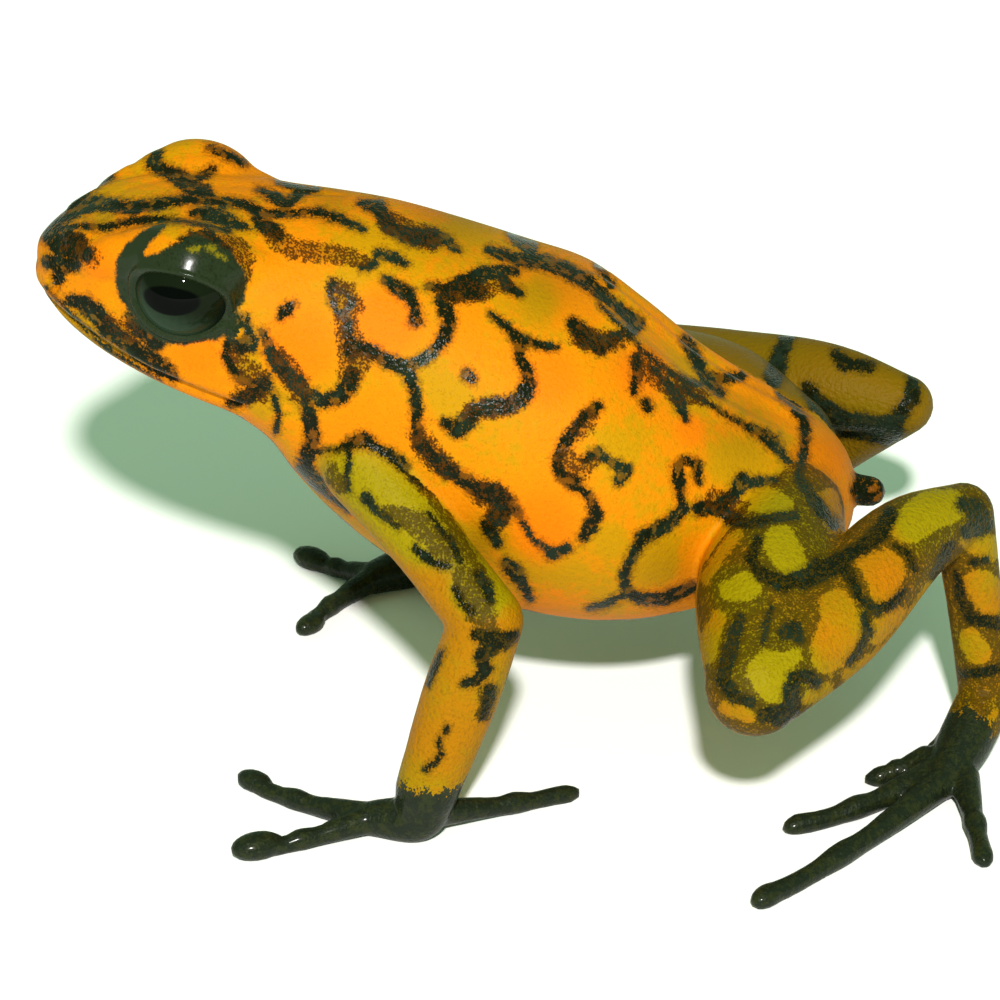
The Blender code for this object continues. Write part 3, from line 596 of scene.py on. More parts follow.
def shape_lids(points, side):
    """Inside the opening the skin lies behind the ball. Round it runs a lid edge close to the ball. The
    lower lid has a ridge, a groove and a second ridge below it, and the upper lid swells evenly into the
    brow."""
    place, reach, towards, height = lid_place(points, side)
    near = (place < LID_ZONE[0]) & (reach < EYE_RADIUS + LID_ZONE[1])
    upper = ramp(height, -0.3, 0.5)
    draw = 1 - ramp(place, LID_DRAWN_FROM, LOWER_LID_END + UPPER_LID_MORE * upper)
    draw = draw * (1 - ramp(reach - EYE_RADIUS, *LID_REACH))
    wanted = reach + (EYE_RADIUS + LID_GAP + UPPER_LID_SWELL * upper - reach) * draw
    wanted += round_lids(place, LID_EDGE)
    wanted += (1 - upper) * (round_lids(place, LOWER_GROOVE) + round_lids(place, LOWER_RIDGE))
    inside = 1 - ramp(place, *OPENING_EDGE)
    wanted = wanted * (1 - inside) + (EYE_RADIUS - SOCKET_DEPTH) * inside
    return np.where(near[:, None], on_side(EYE, side) + towards * wanted[:, None], points)


print("lid edge stands", LID_GAP + LID_EDGE[0], "mm off the ball")

# %% [markdown]
# The mouth is a long line that climbs to the snout. The nostrils and the ear drums are dents with a soft
# rim round them, and each is a pair of spots: the rim's width and height, then the dent's.

# %% Mouth, nostrils and ear drums
FACE_SPOTS = (
    ((1.8, -17.15, 19.6), (0.9, 0.14), (0.52, -0.9)),
    ((5.35, -9.95, 18.0), (1.35, 0.14), (0.95, -0.3)),
)
LIP_GROOVE = (0.3, 0.22)
LIP_RIDGES = (0.09, 0.42)
LIP_OFFSET = 0.5
MOUTH_END_FADE = 0.5
MOUTH_HEIGHTS = (
    (-18.1, 18.9),
    (-17.3, 18.5),
    (-16.0, 17.9),
    (-14.9, 17.35),
    (-13.3, 16.75),
    (-11.4, 16.2),
    (-9.0, 15.6),
)
MOUTH_CORNER = -9.7


def spot(points, normals, centre, radius, height):
    """A round bump of this height, or a dent where it is negative."""
    return points + normals * (height * dome(np.linalg.norm(points - centre, axis=1) / radius))[:, None]


def mouth(points, normals):
    """A groove where the height passes the line of the mouth, and a lip above and below it."""
    places, heights = np.array(MOUTH_HEIGHTS).T
    off = points[:, 2] - np.interp(points[:, 1], places, heights)
    shown = 1 - ramp(points[:, 1], MOUTH_CORNER - MOUTH_END_FADE, MOUTH_CORNER)
    groove = LIP_GROOVE[0] * dome(off / LIP_GROOVE[1])
    lips = LIP_RIDGES[0] * dome((np.abs(off) - LIP_OFFSET) / LIP_RIDGES[1])
    return points - normals * ((groove - lips) * shown)[:, None]


print("line of the mouth, in mm", MOUTH_HEIGHTS[0], "to", MOUTH_HEIGHTS[-1])

# %% [markdown]
# Skin folds are drawn on the chart of the left side and repeated on the right. Each has a width and a depth
# in mm, and fades at its ends. They are the lines along the brow and the crown, the ridge from the eye to
# the snout, and the crease below the ear.

# %% Folds
FOLD_SAMPLES = 12
FOLD_FADE = 0.12
FOLD_SEEN = 0.25
FOLDS = {
    "brow line": (0.16, -0.1, ((62, 226), (105, 230), (147, 222), (184, 220), (216, 224), (243, 229))),
    "crown line": (
        0.2, -0.08, ((95, 207), (141, 207), (174, 206), (207, 202), (243, 209), (305, 214), (360, 227)),
    ),
    "canthal ridge": (0.7, 0.1, ((62, 240), (92, 232), (120, 230))),
    "below the ear": (0.35, -0.12, ((250, 388), (280, 400), (304, 425), (312, 455))),
}


def line_distance(flat, path):
    """Distance on the chart, in mm, from a line through the path's points, and how far along it, 0 to 1."""
    rows = smooth_rows(path, FOLD_SAMPLES * len(path))
    near, along = np.full(len(flat), FAR_OFF), np.zeros(len(flat))
    for number, row in enumerate(rows):
        off = np.hypot(flat[:, 0] - row[0], flat[:, 1] - row[1]) / STEPS_PER_MM
        closer = off < near
        near = np.where(closer, off, near)
        along = np.where(closer, number / (len(rows) - 1), along)
    return near, along


def to_left(vectors, side):
    """Vectors of the right side mirrored to the left, where the chart is."""
    return vectors * (1 if side == "left" else MIRROR)


def fold_points(points, normals, side):
    """Moves the points of one side along their normals by each fold's depth, fading at its ends."""
    mine = to_left(points, side)[:, 0] > 0
    weight = mine * ramp(to_left(normals, side) @ -VIEW, 0.0, FOLD_SEEN)
    flat = chart(to_left(points, side))
    for width, height, path in FOLDS.values():
        near, along = line_distance(flat, path)
        ends = ramp(along, 0.0, FOLD_FADE) * (1 - ramp(along, 1 - FOLD_FADE, 1.0))
        points = points + normals * (height * dome(near / width) * ends * weight)[:, None]
    return points


print("folds on each side", len(FOLDS))

# %% [markdown]
# Two hip bones and the spine stand out as low ridges on the back. After them come the mouth, the spots, the
# folds and the lids, and the soles and discs are laid flat on the floor.

# %% Press everything in
RIDGE_SAMPLES = 40
HIP_RIDGE = ((1.9, 4.4, 17.8), (2.0, 7.4, 15.0), (1.8, 10.6, 12.7))
HIP_RIDGE_SIZE = (0.95, 0.2)
SPINE_RIDGE = ((-0.6, 3.8, 18.3), (-0.6, 6.4, 16.3), (-0.5, 9.0, 14.1), (-0.4, 12.0, 12.3))
SPINE_RIDGE_SIZE = (0.75, 0.2)


def ridge(points, normals, path, size):
    """A ridge along a path, of this half width and height."""
    width, height = size
    near = np.full(len(points), FAR_OFF)
    for row in smooth_rows(path, RIDGE_SAMPLES):
        near = np.minimum(near, np.linalg.norm(points - row, axis=1))
    return points + normals * (height * dome(near / width))[:, None]


points, normals = read_points(skin)
for side in SIDES:
    points = ridge(points, normals, [on_side(place, side) for place in HIP_RIDGE], HIP_RIDGE_SIZE)
points = ridge(points, normals, SPINE_RIDGE, SPINE_RIDGE_SIZE)
points = mouth(points, normals)
for side in SIDES:
    for centre, rim, dent in FACE_SPOTS:
        points = spot(points, normals, on_side(centre, side), *rim)
        points = spot(points, normals, on_side(centre, side), *dent)
    points = fold_points(points, normals, side)
    points = shape_lids(points, side)
points[:, 2] = np.maximum(points[:, 2], 0)
write_points(skin, points)
print("face pressed in")

# %% [markdown]
# The lids end a little sharply where they meet the brow, so the skin round them is smoothed once more, less
# in front of the eye, where the ridge to the nostril should stay.

# %% Smooth the skin round the lids
LID_SMOOTH_ROUNDS = 24
SMOOTH_FROM_LIDS = (1.35, 1.7)
SMOOTH_REACH = (3.9, 5.2)
SMOOTH_LOWEST = 15
FRONT_SOFTNESS = 0.45
FRONT_OF_EYE = (-13.5, -11.5)

around = np.zeros(len(points))
for side in SIDES:
    place, reach, _, _ = lid_place(points, side)
    round_lid = ramp(place, *SMOOTH_FROM_LIDS) * (1 - ramp(reach, *SMOOTH_REACH))
    around = np.maximum(around, round_lid * (points[:, 2] > SMOOTH_LOWEST))
around *= FRONT_SOFTNESS + (1 - FRONT_SOFTNESS) * ramp(points[:, 1], *FRONT_OF_EYE)
soften(skin, around, LID_SMOOTH_ROUNDS)
print("points smoothed round the lids", int((around > 0.05).sum()))

# %% [markdown]
# ## Markings
# The black network is a family of strokes. Each is a chain of round-ended pieces drawn on the chart:
# across, down and half width at every bend. A point's depth inside the nearest stroke becomes an attribute
# of the mesh, and the skin's material later frays its edge into fine stipple. Some strokes are a mottled
# brown and not black.

# %% Strokes on the head and trunk
TRUNK_BLACK = {
    "snout top": ((49, 227, 7), (60, 214, 12), (77, 206, 11), (96, 203, 8), (113, 206, 7), (132, 208, 7)),
    "crown edge": (
        (132, 208, 7), (150, 206, 7), (166, 202, 6),
        (186, 199, 5), (213, 201, 5), (246, 204, 5),
    ),
    "crown edge end": (
        (246, 204, 5), (262, 215, 6), (287, 213, 4),
        (320, 212, 4), (343, 220, 5), (362, 229, 4),
    ),
    "snout": ((50, 238, 9), (62, 242, 15), (76, 247, 14), (86, 254, 8)),
    "round the nostril": ((50, 262, 8), (62, 266, 9), (76, 264, 6)),
    # painted shade: the dark of the nostril's opening, laid over its dent
    "nostril": ((55, 270, 4), (59, 280, 6)),
    "snout line": (
        (50, 229, 3), (78, 226, 3), (103, 227, 4), (128, 222, 4),
        (155, 219, 4), (178, 220, 3), (196, 223, 3),
    ),
    "brow line": ((196, 223, 3), (212, 228, 3), (228, 230, 4)),
    "over the eye": ((192, 214, 4), (205, 213, 8), (220, 216, 9), (234, 223, 6), (248, 228, 3)),
    "brow": ((182, 240, 3), (194, 236, 5), (206, 235, 6), (217, 240, 5), (228, 250, 4)),
    "crown bar": (
        (157, 152, 6), (153, 164, 7), (166, 171, 7),
        (180, 178, 9), (190, 187, 9), (204, 192, 8),
    ),
    "crown bar end": ((204, 192, 8), (210, 199, 6)),
    "crown twig": ((213, 169, 4), (203, 176, 5), (194, 182, 6)),
    "far brow": ((209, 148, 4), (226, 155, 5), (244, 163, 4)),
    "snout far edge": ((80, 196, 6), (98, 182, 4), (112, 176, 3)),
    "nape": ((259, 190, 4), (272, 196, 6), (286, 204, 7), (299, 193, 5), (316, 188, 4)),
    "nape top": ((279, 183, 4), (302, 187, 5)),
    "behind the brow": ((258, 218, 7), (266, 226, 9), (277, 234, 8)),
    "upper lip": ((70, 300, 5), (84, 304, 9), (97, 314, 9), (108, 330, 9), (124, 341, 8)),
    "upper lip rear": ((124, 341, 8), (140, 353, 9), (153, 362, 9), (164, 369, 9), (174, 377, 5)),
    "below the eye": ((130, 318, 6), (140, 332, 7), (156, 344, 8)),
    "lip edge": ((46, 288, 2), (69, 312, 2), (88, 331, 2), (110, 350, 3), (138, 368, 2), (161, 381, 2)),
    "ear top": ((247, 316, 3), (249, 330, 4), (249, 343, 10), (240, 347, 8)),
    "ear front": (
        (228, 342, 4), (226, 354, 4), (231, 367, 5),
        (241, 380, 5), (256, 385, 5), (268, 378, 4),
    ),
    "behind the ear": (
        (262, 331, 4), (272, 354, 7), (281, 368, 8),
        (292, 380, 8), (303, 391, 8), (316, 397, 6),
    ),
    "behind the ear end": ((300, 380, 6), (307, 400, 7)),
    "to the shoulder": ((307, 400, 7), (310, 421, 7), (313, 439, 7), (308, 453, 8), (304, 466, 8)),
    "shoulder line": ((307, 452, 4), (322, 450, 3), (338, 450, 3), (350, 444, 4)),
    "shoulder foot": ((304, 468, 9), (316, 482, 8), (334, 495, 7), (352, 508, 6)),
    "jaw end": ((231, 404, 5), (245, 398, 8), (258, 391, 7), (268, 384, 5)),
    "throat line": ((266, 384, 3), (274, 398, 3), (279, 414, 3), (276, 431, 3)),
    "cheek fleck": ((280, 318, 3), (287, 310, 7), (293, 304, 4)),
    "under the first spot": ((307, 399, 6), (324, 401, 7), (340, 397, 8), (349, 384, 9), (352, 374, 8)),
    "first spot left": (
        (333, 284, 5), (331, 296, 4), (336, 310, 3),
        (344, 314, 5), (348, 328, 5), (350, 344, 7),
    ),
    "first spot loop": ((336, 290, 3), (347, 293, 3), (353, 302, 4), (346, 313, 4)),
    "hook": (
        (384, 279, 4), (391, 284, 7), (400, 289, 8), (409, 294, 7),
        (414, 304, 5), (416, 315, 6), (416, 321, 7),
    ),
    "above the hook": ((362, 268, 4), (374, 264, 4)),
    "net by the hook": ((378, 254, 5), (392, 257, 6), (405, 264, 4)),
    "first spot right": (
        (440, 298, 6), (446, 309, 8), (449, 322, 7),
        (446, 335, 7), (437, 348, 6), (424, 359, 6),
    ),
    "first spot under": ((352, 350, 9), (368, 349, 7), (384, 360, 7), (398, 365, 7), (410, 370, 8)),
    "first spot under end": ((424, 358, 5), (412, 366, 6), (411, 378, 7)),
    "between the spots": ((411, 378, 6), (415, 394, 5), (417, 412, 6), (417, 428, 6), (420, 446, 6)),
    "back net": (
        (430, 286, 5), (446, 290, 7), (463, 283, 9),
        (480, 291, 8), (464, 297, 5), (446, 299, 4),
    ),
    "back net top": ((464, 283, 8), (480, 275, 8), (500, 271, 7), (516, 271, 5)),
    "back net end": ((500, 272, 6), (507, 286, 6), (519, 293, 5)),
    "dorsal bar": (
        (360, 203, 4), (378, 207, 8), (384, 218, 8),
        (392, 228, 8), (408, 236, 9), (432, 238, 10),
    ),
    "dorsal bar end": ((432, 238, 10), (446, 240, 6), (458, 250, 3)),
    "dorsal stripe": (
        (490, 250, 5), (516, 259, 7), (545, 262, 8),
        (566, 270, 8), (586, 281, 8), (602, 294, 7),
    ),
    "dorsal stripe end": ((602, 294, 7), (614, 304, 5), (627, 315, 7), (636, 323, 9), (630, 334, 6)),
    "dorsal branch": ((514, 236, 7), (529, 246, 9), (531, 259, 7)),
    "far stripe": ((598, 266, 4), (605, 276, 4), (612, 286, 4)),
    "second spot right": ((491, 314, 3), (503, 324, 4), (514, 334, 6), (521, 344, 8), (519, 356, 5)),
    "second spot side": ((519, 356, 5), (528, 372, 6), (529, 384, 8), (524, 396, 9)),
    "second spot under": ((524, 396, 8), (510, 405, 9), (494, 407, 9), (479, 409, 8), (468, 420, 7)),
    "second spot end": ((468, 420, 9), (458, 430, 9), (446, 423, 6)),
    "second spot link": ((521, 339, 5), (534, 343, 5), (547, 347, 4), (558, 347, 3)),
    "second spot eye": ((467, 374, 6), (471, 378, 6)),
    "flank bar": (
        (424, 446, 6), (432, 456, 7), (443, 467, 9),
        (459, 477, 7), (477, 489, 9), (495, 495, 12),
    ),
    "flank bar end": ((495, 495, 12), (509, 502, 8), (500, 516, 11), (488, 525, 8), (497, 542, 6)),
    "flank thread": (
        (514, 508, 5), (524, 524, 3), (532, 538, 3),
        (544, 548, 4), (553, 554, 6), (566, 549, 6),
    ),
    "belly blot": ((505, 563, 5), (514, 571, 9), (522, 583, 6), (530, 598, 4)),
    "flank crook": (
        (597, 407, 6), (586, 416, 6), (575, 428, 5),
        (566, 443, 7), (556, 460, 5), (561, 475, 6),
    ),
    "flank crook low": (
        (561, 475, 6), (573, 483, 8), (583, 491, 4),
        (592, 500, 5), (596, 514, 7), (590, 527, 7),
    ),
    "flank crook foot": ((590, 527, 7), (583, 538, 5)),
    "flank crook twig": ((584, 460, 4), (597, 452, 5), (610, 462, 4), (626, 470, 7), (619, 481, 5)),
    "rear hook": (
        (698, 482, 4), (697, 464, 5), (685, 460, 4), (677, 467, 6),
        (679, 480, 7), (681, 496, 4), (681, 508, 5),
    ),
    "rear line": (
        (683, 508, 6), (673, 520, 7), (655, 532, 8),
        (642, 538, 8), (636, 550, 5), (628, 565, 5),
    ),
    "groin line": (
        (628, 565, 5), (624, 579, 6), (628, 593, 5),
        (642, 599, 6), (663, 599, 7), (693, 587, 6),
    ),
    "belly line": ((589, 608, 3), (603, 605, 4), (622, 596, 4)),
    "side of the back": ((573, 323, 6), (584, 336, 10), (600, 346, 9), (612, 340, 7), (622, 334, 5)),
    "hip fold": (
        (600, 304, 2), (620, 325, 2), (640, 348, 3),
        (660, 365, 3), (682, 381, 4), (700, 385, 4),
    ),
    "ridge spots": ((636, 357, 5), (638, 374, 6), (634, 392, 4)),
    "ridge dot": ((646, 404, 6), (648, 408, 5)),
    "rump net": ((652, 368, 3), (664, 379, 5), (676, 392, 7), (681, 405, 6), (686, 420, 3)),
    "rump net twig": ((676, 392, 5), (690, 384, 5)),
    "rump line": (
        (686, 390, 6), (700, 398, 3), (714, 407, 3),
        (730, 417, 3), (745, 426, 4), (760, 433, 6),
    ),
    "rump line end": ((760, 433, 6), (773, 442, 8), (784, 456, 4), (795, 470, 4)),
    "rump bars": ((686, 340, 6), (694, 354, 7), (700, 368, 6), (708, 381, 6), (720, 392, 6)),
    "rump bar end": ((704, 372, 4), (722, 379, 5), (742, 376, 5)),
    "rump loop": (
        (780, 394, 4), (794, 404, 5), (804, 420, 6), (806, 438, 5),
        (803, 456, 5), (799, 478, 5), (812, 497, 7),
    ),
    "hip net": ((701, 509, 8), (718, 507, 7), (731, 518, 8), (748, 524, 6), (772, 518, 5), (796, 515, 5)),
    "hip spot": ((742, 478, 6), (736, 492, 7), (722, 504, 7)),
    "hip twig": ((738, 486, 5), (756, 482, 5), (776, 480, 4)),
    "rump foot": ((812, 497, 7), (822, 512, 7), (834, 524, 6)),
    "vent": ((860, 476, 6), (866, 490, 15), (874, 504, 12)),
}
TRUNK_BROWN = {
    "shoulder band": (
        (268, 230, 8), (280, 242, 10), (296, 250, 11),
        (322, 252, 10), (342, 256, 10), (362, 260, 8),
    ),
    "behind the eye": (
        (172, 247, 4), (192, 237, 5), (222, 244, 9),
        (236, 250, 13), (245, 262, 10), (246, 276, 6),
    ),
    "first spot corner": ((340, 300, 8), (346, 326, 12), (352, 350, 14), (350, 372, 12), (372, 354, 8)),
    "first spot loop": ((336, 288, 10), (346, 292, 10), (354, 304, 10)),
    "back patch": ((442, 292, 8), (466, 292, 11), (486, 292, 8), (506, 282, 6)),
    "second spot belt": ((470, 412, 9), (494, 408, 11), (512, 404, 10)),
    "flank belt": ((420, 440, 11), (436, 460, 12), (450, 470, 9)),
    "flank net": ((486, 494, 15), (500, 500, 14), (496, 520, 12)),
    "side of the back": ((580, 336, 11), (600, 343, 12), (620, 340, 10)),
    "rump corner": ((640, 360, 9), (660, 376, 13), (684, 392, 14), (700, 396, 9)),
    "before the ear": ((240, 396, 9), (262, 396, 7)),
    "ear branch": ((280, 358, 10), (292, 376, 12), (300, 392, 11)),
    "ear": ((236, 352, 7), (245, 366, 8), (260, 376, 8)),
    "shoulder": ((332, 468, 4), (334, 478, 8), (342, 488, 8)),
    "crook heart": ((566, 460, 11), (578, 470, 12), (590, 462, 9)),
    "crook top": ((576, 432, 10), (588, 420, 10)),
    "snout side": ((76, 246, 14), (92, 258, 9)),
    "lip speckle": ((112, 324, 9), (134, 334, 9)),
    "hip net": ((716, 500, 12), (736, 512, 12), (770, 512, 9)),
    "dorsal bar": ((390, 222, 11), (430, 240, 11)),
}
print("strokes on the trunk", len(TRUNK_BLACK) + len(TRUNK_BROWN))

# %% [markdown]
# The limbs have strokes of their own. The black and brown strokes along the left arm's upper edge are
# painted shade, in the crease where the arm meets the body. The left leg's brown is the other way round: it
# lies wherever none of the leg's clear spots is. The dark ring round the eye and the olive flecks on the
# lid are strokes too.

# %% Strokes on the limbs and round the eye
LEFT_ARM_BLACK = {
    # painted shade: the upper edge strokes darken the crease between the arm and the body
    "upper edge": (
        (344, 448, 4), (352, 442, 6), (362, 439, 8),
        (376, 447, 5), (392, 456, 6), (404, 466, 6),
    ),
    "upper edge end": ((404, 466, 6), (416, 478, 5), (428, 492, 2)),
    "shoulder front": ((307, 452, 4), (322, 450, 3), (338, 450, 3), (350, 444, 4)),
    "shoulder edge": ((349, 448, 3), (348, 462, 3), (346, 476, 3), (349, 490, 3)),
    "upper arm mark": ((366, 498, 6), (374, 508, 4), (386, 518, 4), (398, 526, 3)),
    "upper arm side": ((428, 512, 2), (440, 528, 3), (450, 541, 4), (460, 560, 4)),
    "upper arm thread": ((416, 549, 4), (428, 558, 5), (440, 565, 4), (449, 566, 3)),
    "above the elbow": ((456, 590, 4), (462, 603, 4), (472, 612, 5)),
    "elbow side": ((478, 574, 5), (486, 586, 7), (490, 600, 5)),
    "elbow": ((477, 634, 6), (488, 640, 9), (502, 641, 9), (514, 636, 6)),
    "elbow down": ((488, 650, 8), (480, 656, 6), (486, 668, 7), (478, 680, 6), (464, 683, 4)),
    "forearm edge": ((490, 690, 7), (487, 704, 6), (483, 718, 4)),
    "forearm front": ((442, 652, 3), (434, 668, 4), (428, 684, 3)),
    "forearm thread": ((448, 727, 3), (438, 742, 2), (441, 756, 3), (426, 770, 3)),
    "wrist cuff": ((392, 788, 6), (402, 796, 6)),
}
LEFT_ARM_BROWN = {
    # painted shade: the brown upper edge continues the shade in the crease between the arm and the body
    "upper edge": ((410, 472, 5), (434, 500, 6), (456, 532, 6), (484, 578, 6)),
    "upper arm stipple": ((386, 512, 7), (412, 520, 12), (432, 536, 13), (444, 554, 10)),
    "elbow stipple": ((464, 578, 13), (474, 600, 14), (484, 622, 13), (494, 642, 12)),
    "shoulder": ((332, 466, 5), (334, 478, 9), (342, 486, 8)),
    "forearm stipple": ((488, 690, 8), (484, 716, 7)),
}
LEFT_LEG_BLACK = {
    "fold side": ((758, 540, 5), (750, 560, 6), (762, 574, 6)),
    "thigh top": ((762, 574, 7), (784, 584, 9), (808, 574, 7), (818, 562, 6)),
    "knee band": (
        (740, 618, 5), (734, 636, 8), (728, 658, 8),
        (722, 680, 7), (736, 697, 7), (752, 703, 5),
    ),
    "knee tip": ((766, 714, 9), (780, 716, 11), (792, 708, 10), (792, 690, 9)),
    "shank blot": ((784, 634, 7), (793, 628, 9), (800, 640, 5)),
    "shank start": ((796, 678, 8), (808, 676, 7), (816, 684, 6)),
    "fold": ((771, 608, 3), (766, 625, 4), (763, 645, 3)),
    "shank top": ((804, 583, 7), (823, 572, 8), (843, 565, 8), (852, 580, 6)),
    "shank ring": ((852, 580, 5), (860, 598, 5), (876, 610, 6), (892, 605, 5), (904, 590, 3)),
    "shank lower": ((866, 616, 5), (868, 632, 5), (860, 648, 4), (850, 662, 4)),
    "shank upper edge": ((890, 514, 8), (880, 532, 9), (864, 546, 8), (846, 556, 7), (826, 566, 7)),
    "shank thread": ((896, 546, 3), (908, 554, 4), (916, 570, 4)),
    "heel": ((964, 504, 8), (974, 508, 11), (982, 524, 12), (968, 532, 8)),
    "heel inner": ((950, 546, 6), (942, 560, 6), (934, 576, 4)),
    "tarsus mark": ((972, 563, 4), (986, 560, 4)),
    "tarsus edge": ((956, 574, 4), (962, 600, 6), (972, 619, 7), (1002, 624, 7)),
    "tarsus low": ((962, 674, 5), (984, 672, 5), (1004, 668, 6)),
}
LEFT_LEG_SPOTS = {
    "shank": ((836, 606, 17), (842, 626, 22), (832, 648, 21), (826, 660, 14)),
    "shank top": ((868, 562, 12), (884, 572, 22), (884, 592, 15)),
    "shank low": ((876, 634, 11), (896, 614, 9)),
    "knee": ((770, 672, 23), (774, 684, 19)),
    "knee tail": ((784, 664, 12), (796, 656, 7)),
    "thigh front": ((730, 590, 11), (746, 586, 15)),
    "thigh": ((780, 542, 17), (790, 560, 16)),
    "hip": ((752, 502, 10), (768, 501, 14), (784, 505, 10)),
    "knee side": ((718, 618, 8), (712, 636, 10), (708, 656, 8)),
    "knee foot": ((726, 708, 8), (748, 716, 7)),
    "knee end": ((808, 698, 7), (826, 690, 8)),
    "shank end": ((908, 526, 18), (930, 511, 21), (948, 506, 18)),
    "tarsus top": ((974, 540, 13), (988, 548, 14)),
    "tarsus": ((980, 588, 19), (992, 598, 18)),
    "tarsus low": ((970, 640, 12), (978, 652, 13)),
    "ankle": ((974, 692, 11), (984, 712, 14)),
    "lower edge": ((850, 676, 8), (888, 650, 8), (912, 620, 8), (932, 588, 8)),
    "front edge": ((738, 534, 5), (722, 552, 6), (706, 578, 6)),
    "rump side": ((828, 500, 12), (834, 524, 10)),
}
LEFT_LEG_BROWN = {
    "tarsus stipple": ((972, 684, 12), (980, 706, 14), (968, 726, 12)),
}
RIGHT_LEG_BLACK = {
    "first band": ((788, 336, 7), (779, 358, 9), (774, 378, 10)),
    "top": ((836, 353, 5), (842, 363, 7), (870, 367, 6)),
    "lower edge": ((808, 388, 7), (822, 410, 11), (846, 424, 13), (890, 432, 14)),
    "heel": ((912, 370, 5), (913, 398, 8), (898, 416, 8)),
}
EYE_RING = {
    "front": (
        (161, 225, 5), (145, 238, 7), (134, 251, 11), (130, 264, 14),
        (126, 281, 11), (126, 294, 8), (131, 308, 4),
    ),
    "below": ((131, 306, 4), (140, 318, 5), (150, 329, 5), (166, 338, 5), (186, 341, 4)),
    "below end": (
        (186, 341, 4), (206, 337, 4), (219, 326, 5),
        (229, 311, 6), (236, 297, 9), (236, 281, 11),
    ),
    "behind": ((236, 281, 11), (232, 268, 9), (226, 256, 6)),
    "lid edge": ((150, 268, 6), (176, 268, 8), (196, 272, 9), (214, 281, 9), (230, 292, 8)),
    "upper lid": (
        (140, 266, 8), (158, 262, 9), (180, 257, 14),
        (196, 252, 17), (212, 260, 16), (228, 274, 14),
    ),
}
OLIVE_LID = {
    "lid": ((191, 250, 2), (197, 249, 3)),
    "lid behind": ((208, 248, 2), (214, 249, 2)),
    "lid end": ((219, 255, 1), (224, 258, 2)),
}


print("strokes on the left leg", len(LEFT_LEG_BLACK) + len(LEFT_LEG_SPOTS) + len(LEFT_LEG_BROWN))

# %% [markdown]
# Between two bends a stroke's half width changes evenly, so the depth is that half width less the distance
# from the straight line between them.

# %% How deep inside a stroke
OUTSIDE = -3.0


def stroke_depth(flat, strokes):
    """Depth inside the nearest stroke in mm, less than 0 outside."""
    best = np.full(len(flat), OUTSIDE)
    for stroke in strokes.values():
        for (ax, ay, wide), (bx, by, next_wide) in zip(stroke, stroke[1:]):
            way = np.array((bx - ax, by - ay), float)
            arm = flat - (ax, ay)
            along = np.clip(arm @ way / (way @ way), 0, 1)
            off = np.hypot(*(arm - along[:, None] * way).T)
            best = np.maximum(best, (wide + (next_wide - wide) * along - off) / STEPS_PER_MM)
    return best


nose, far_away = stroke_depth(np.array(((60.0, 240.0), (800.0, 900.0))), TRUNK_BLACK)
print("depth on the snout", round(float(nose), 2), "and off the frog", far_away)

# %% [markdown]
# The drawn strokes belong to what the chart shows. The frog's right flank repeats them from the other side,
# with the places pushed about by slow waves so that the two sides differ as they do in life. Where neither
# chart reaches, as on the belly and the inner sides of the limbs, the material grows a network of its own.

# %% Two charts
SWAY_FROM = -12.0
SWAY_FULLY = -6.0
SWAY_ALONG = 0.75
SWAY_ASIDE = 0.6
SECOND_WAVE = 0.6
SEEN = (0.02, 0.2)


def swayed(points):
    """Points behind the head pushed aside by up to about a millimetre, by two slow sine waves each way."""
    x, y, z = points.T
    aside = np.sin(0.55 * y + 1.3) + SECOND_WAVE * np.sin(0.9 * z + 0.4 * y + 2.1)
    along = np.sin(0.6 * z + 0.8) + SECOND_WAVE * np.sin(0.8 * y - 0.5 * z + 4.0)
    push = np.stack([np.zeros(len(x)), SWAY_ALONG * along, SWAY_ASIDE * aside], 1)
    return points + push * ramp(y, SWAY_FROM, SWAY_FULLY)[:, None]


def seen_from(normals, side):
    """1 where the skin faces the camera of that side's chart, and 0 where it faces away."""
    return ramp(to_left(normals, side) @ -VIEW, *SEEN)


points, normals = read_points(skin)
print("share of skin on the left chart", round(float(seen_from(normals, "left").mean()), 2))

# %% [markdown]
# The skin now has far more points than its calm parts need. The Decimate modifier takes them where a vertex
# group lets it, from a tenth on the eyelids to nine tenths on calm skin. Along the edges of the strokes the
# skin stays fine too, because its points will carry the markings.

# %% Thin out the calm parts
SKIN_TRIANGLES = 190000
CALM = 0.9
TRUNK_TABLES = (TRUNK_BLACK, TRUNK_BROWN, EYE_RING, OLIVE_LID)
EDGE_TABLES = (*TRUNK_TABLES, LEFT_ARM_BLACK, LEFT_LEG_BLACK, LEFT_LEG_SPOTS)
EDGE_CLOSE = (0.08, 0.35)
LESS_IN_SIGHT = 0.1
IN_SIGHT = (-0.1, 0.2)
LESS_ON_HEAD = 0.12
HEAD_BACK = (-9.5, -7.5)
HEAD_LOWEST = (12.0, 14.0)
LESS_ON_HANDS = 0.15
HANDS_TOP = (1.6, 3.0)
LESS_ON_EDGES = 0.6
LID_THINNING = (0.6, 0.5)
LIDS_FADE = (1.5, 2.0)
LIDS_HEIGHT = 1.5


def near_edge(points, normals):
    """1 where the edge of a stroke runs close by, on the chart that shows this side, and 0 elsewhere."""
    close = np.zeros(len(points))
    for side, flat in (("left", chart(points)), ("right", chart(swayed(points * MIRROR)))):
        seen = seen_from(normals, side)
        for table in EDGE_TABLES:
            close = np.maximum(close, seen * (1 - ramp(np.abs(stroke_depth(flat, table)), *EDGE_CLOSE)))
    return close


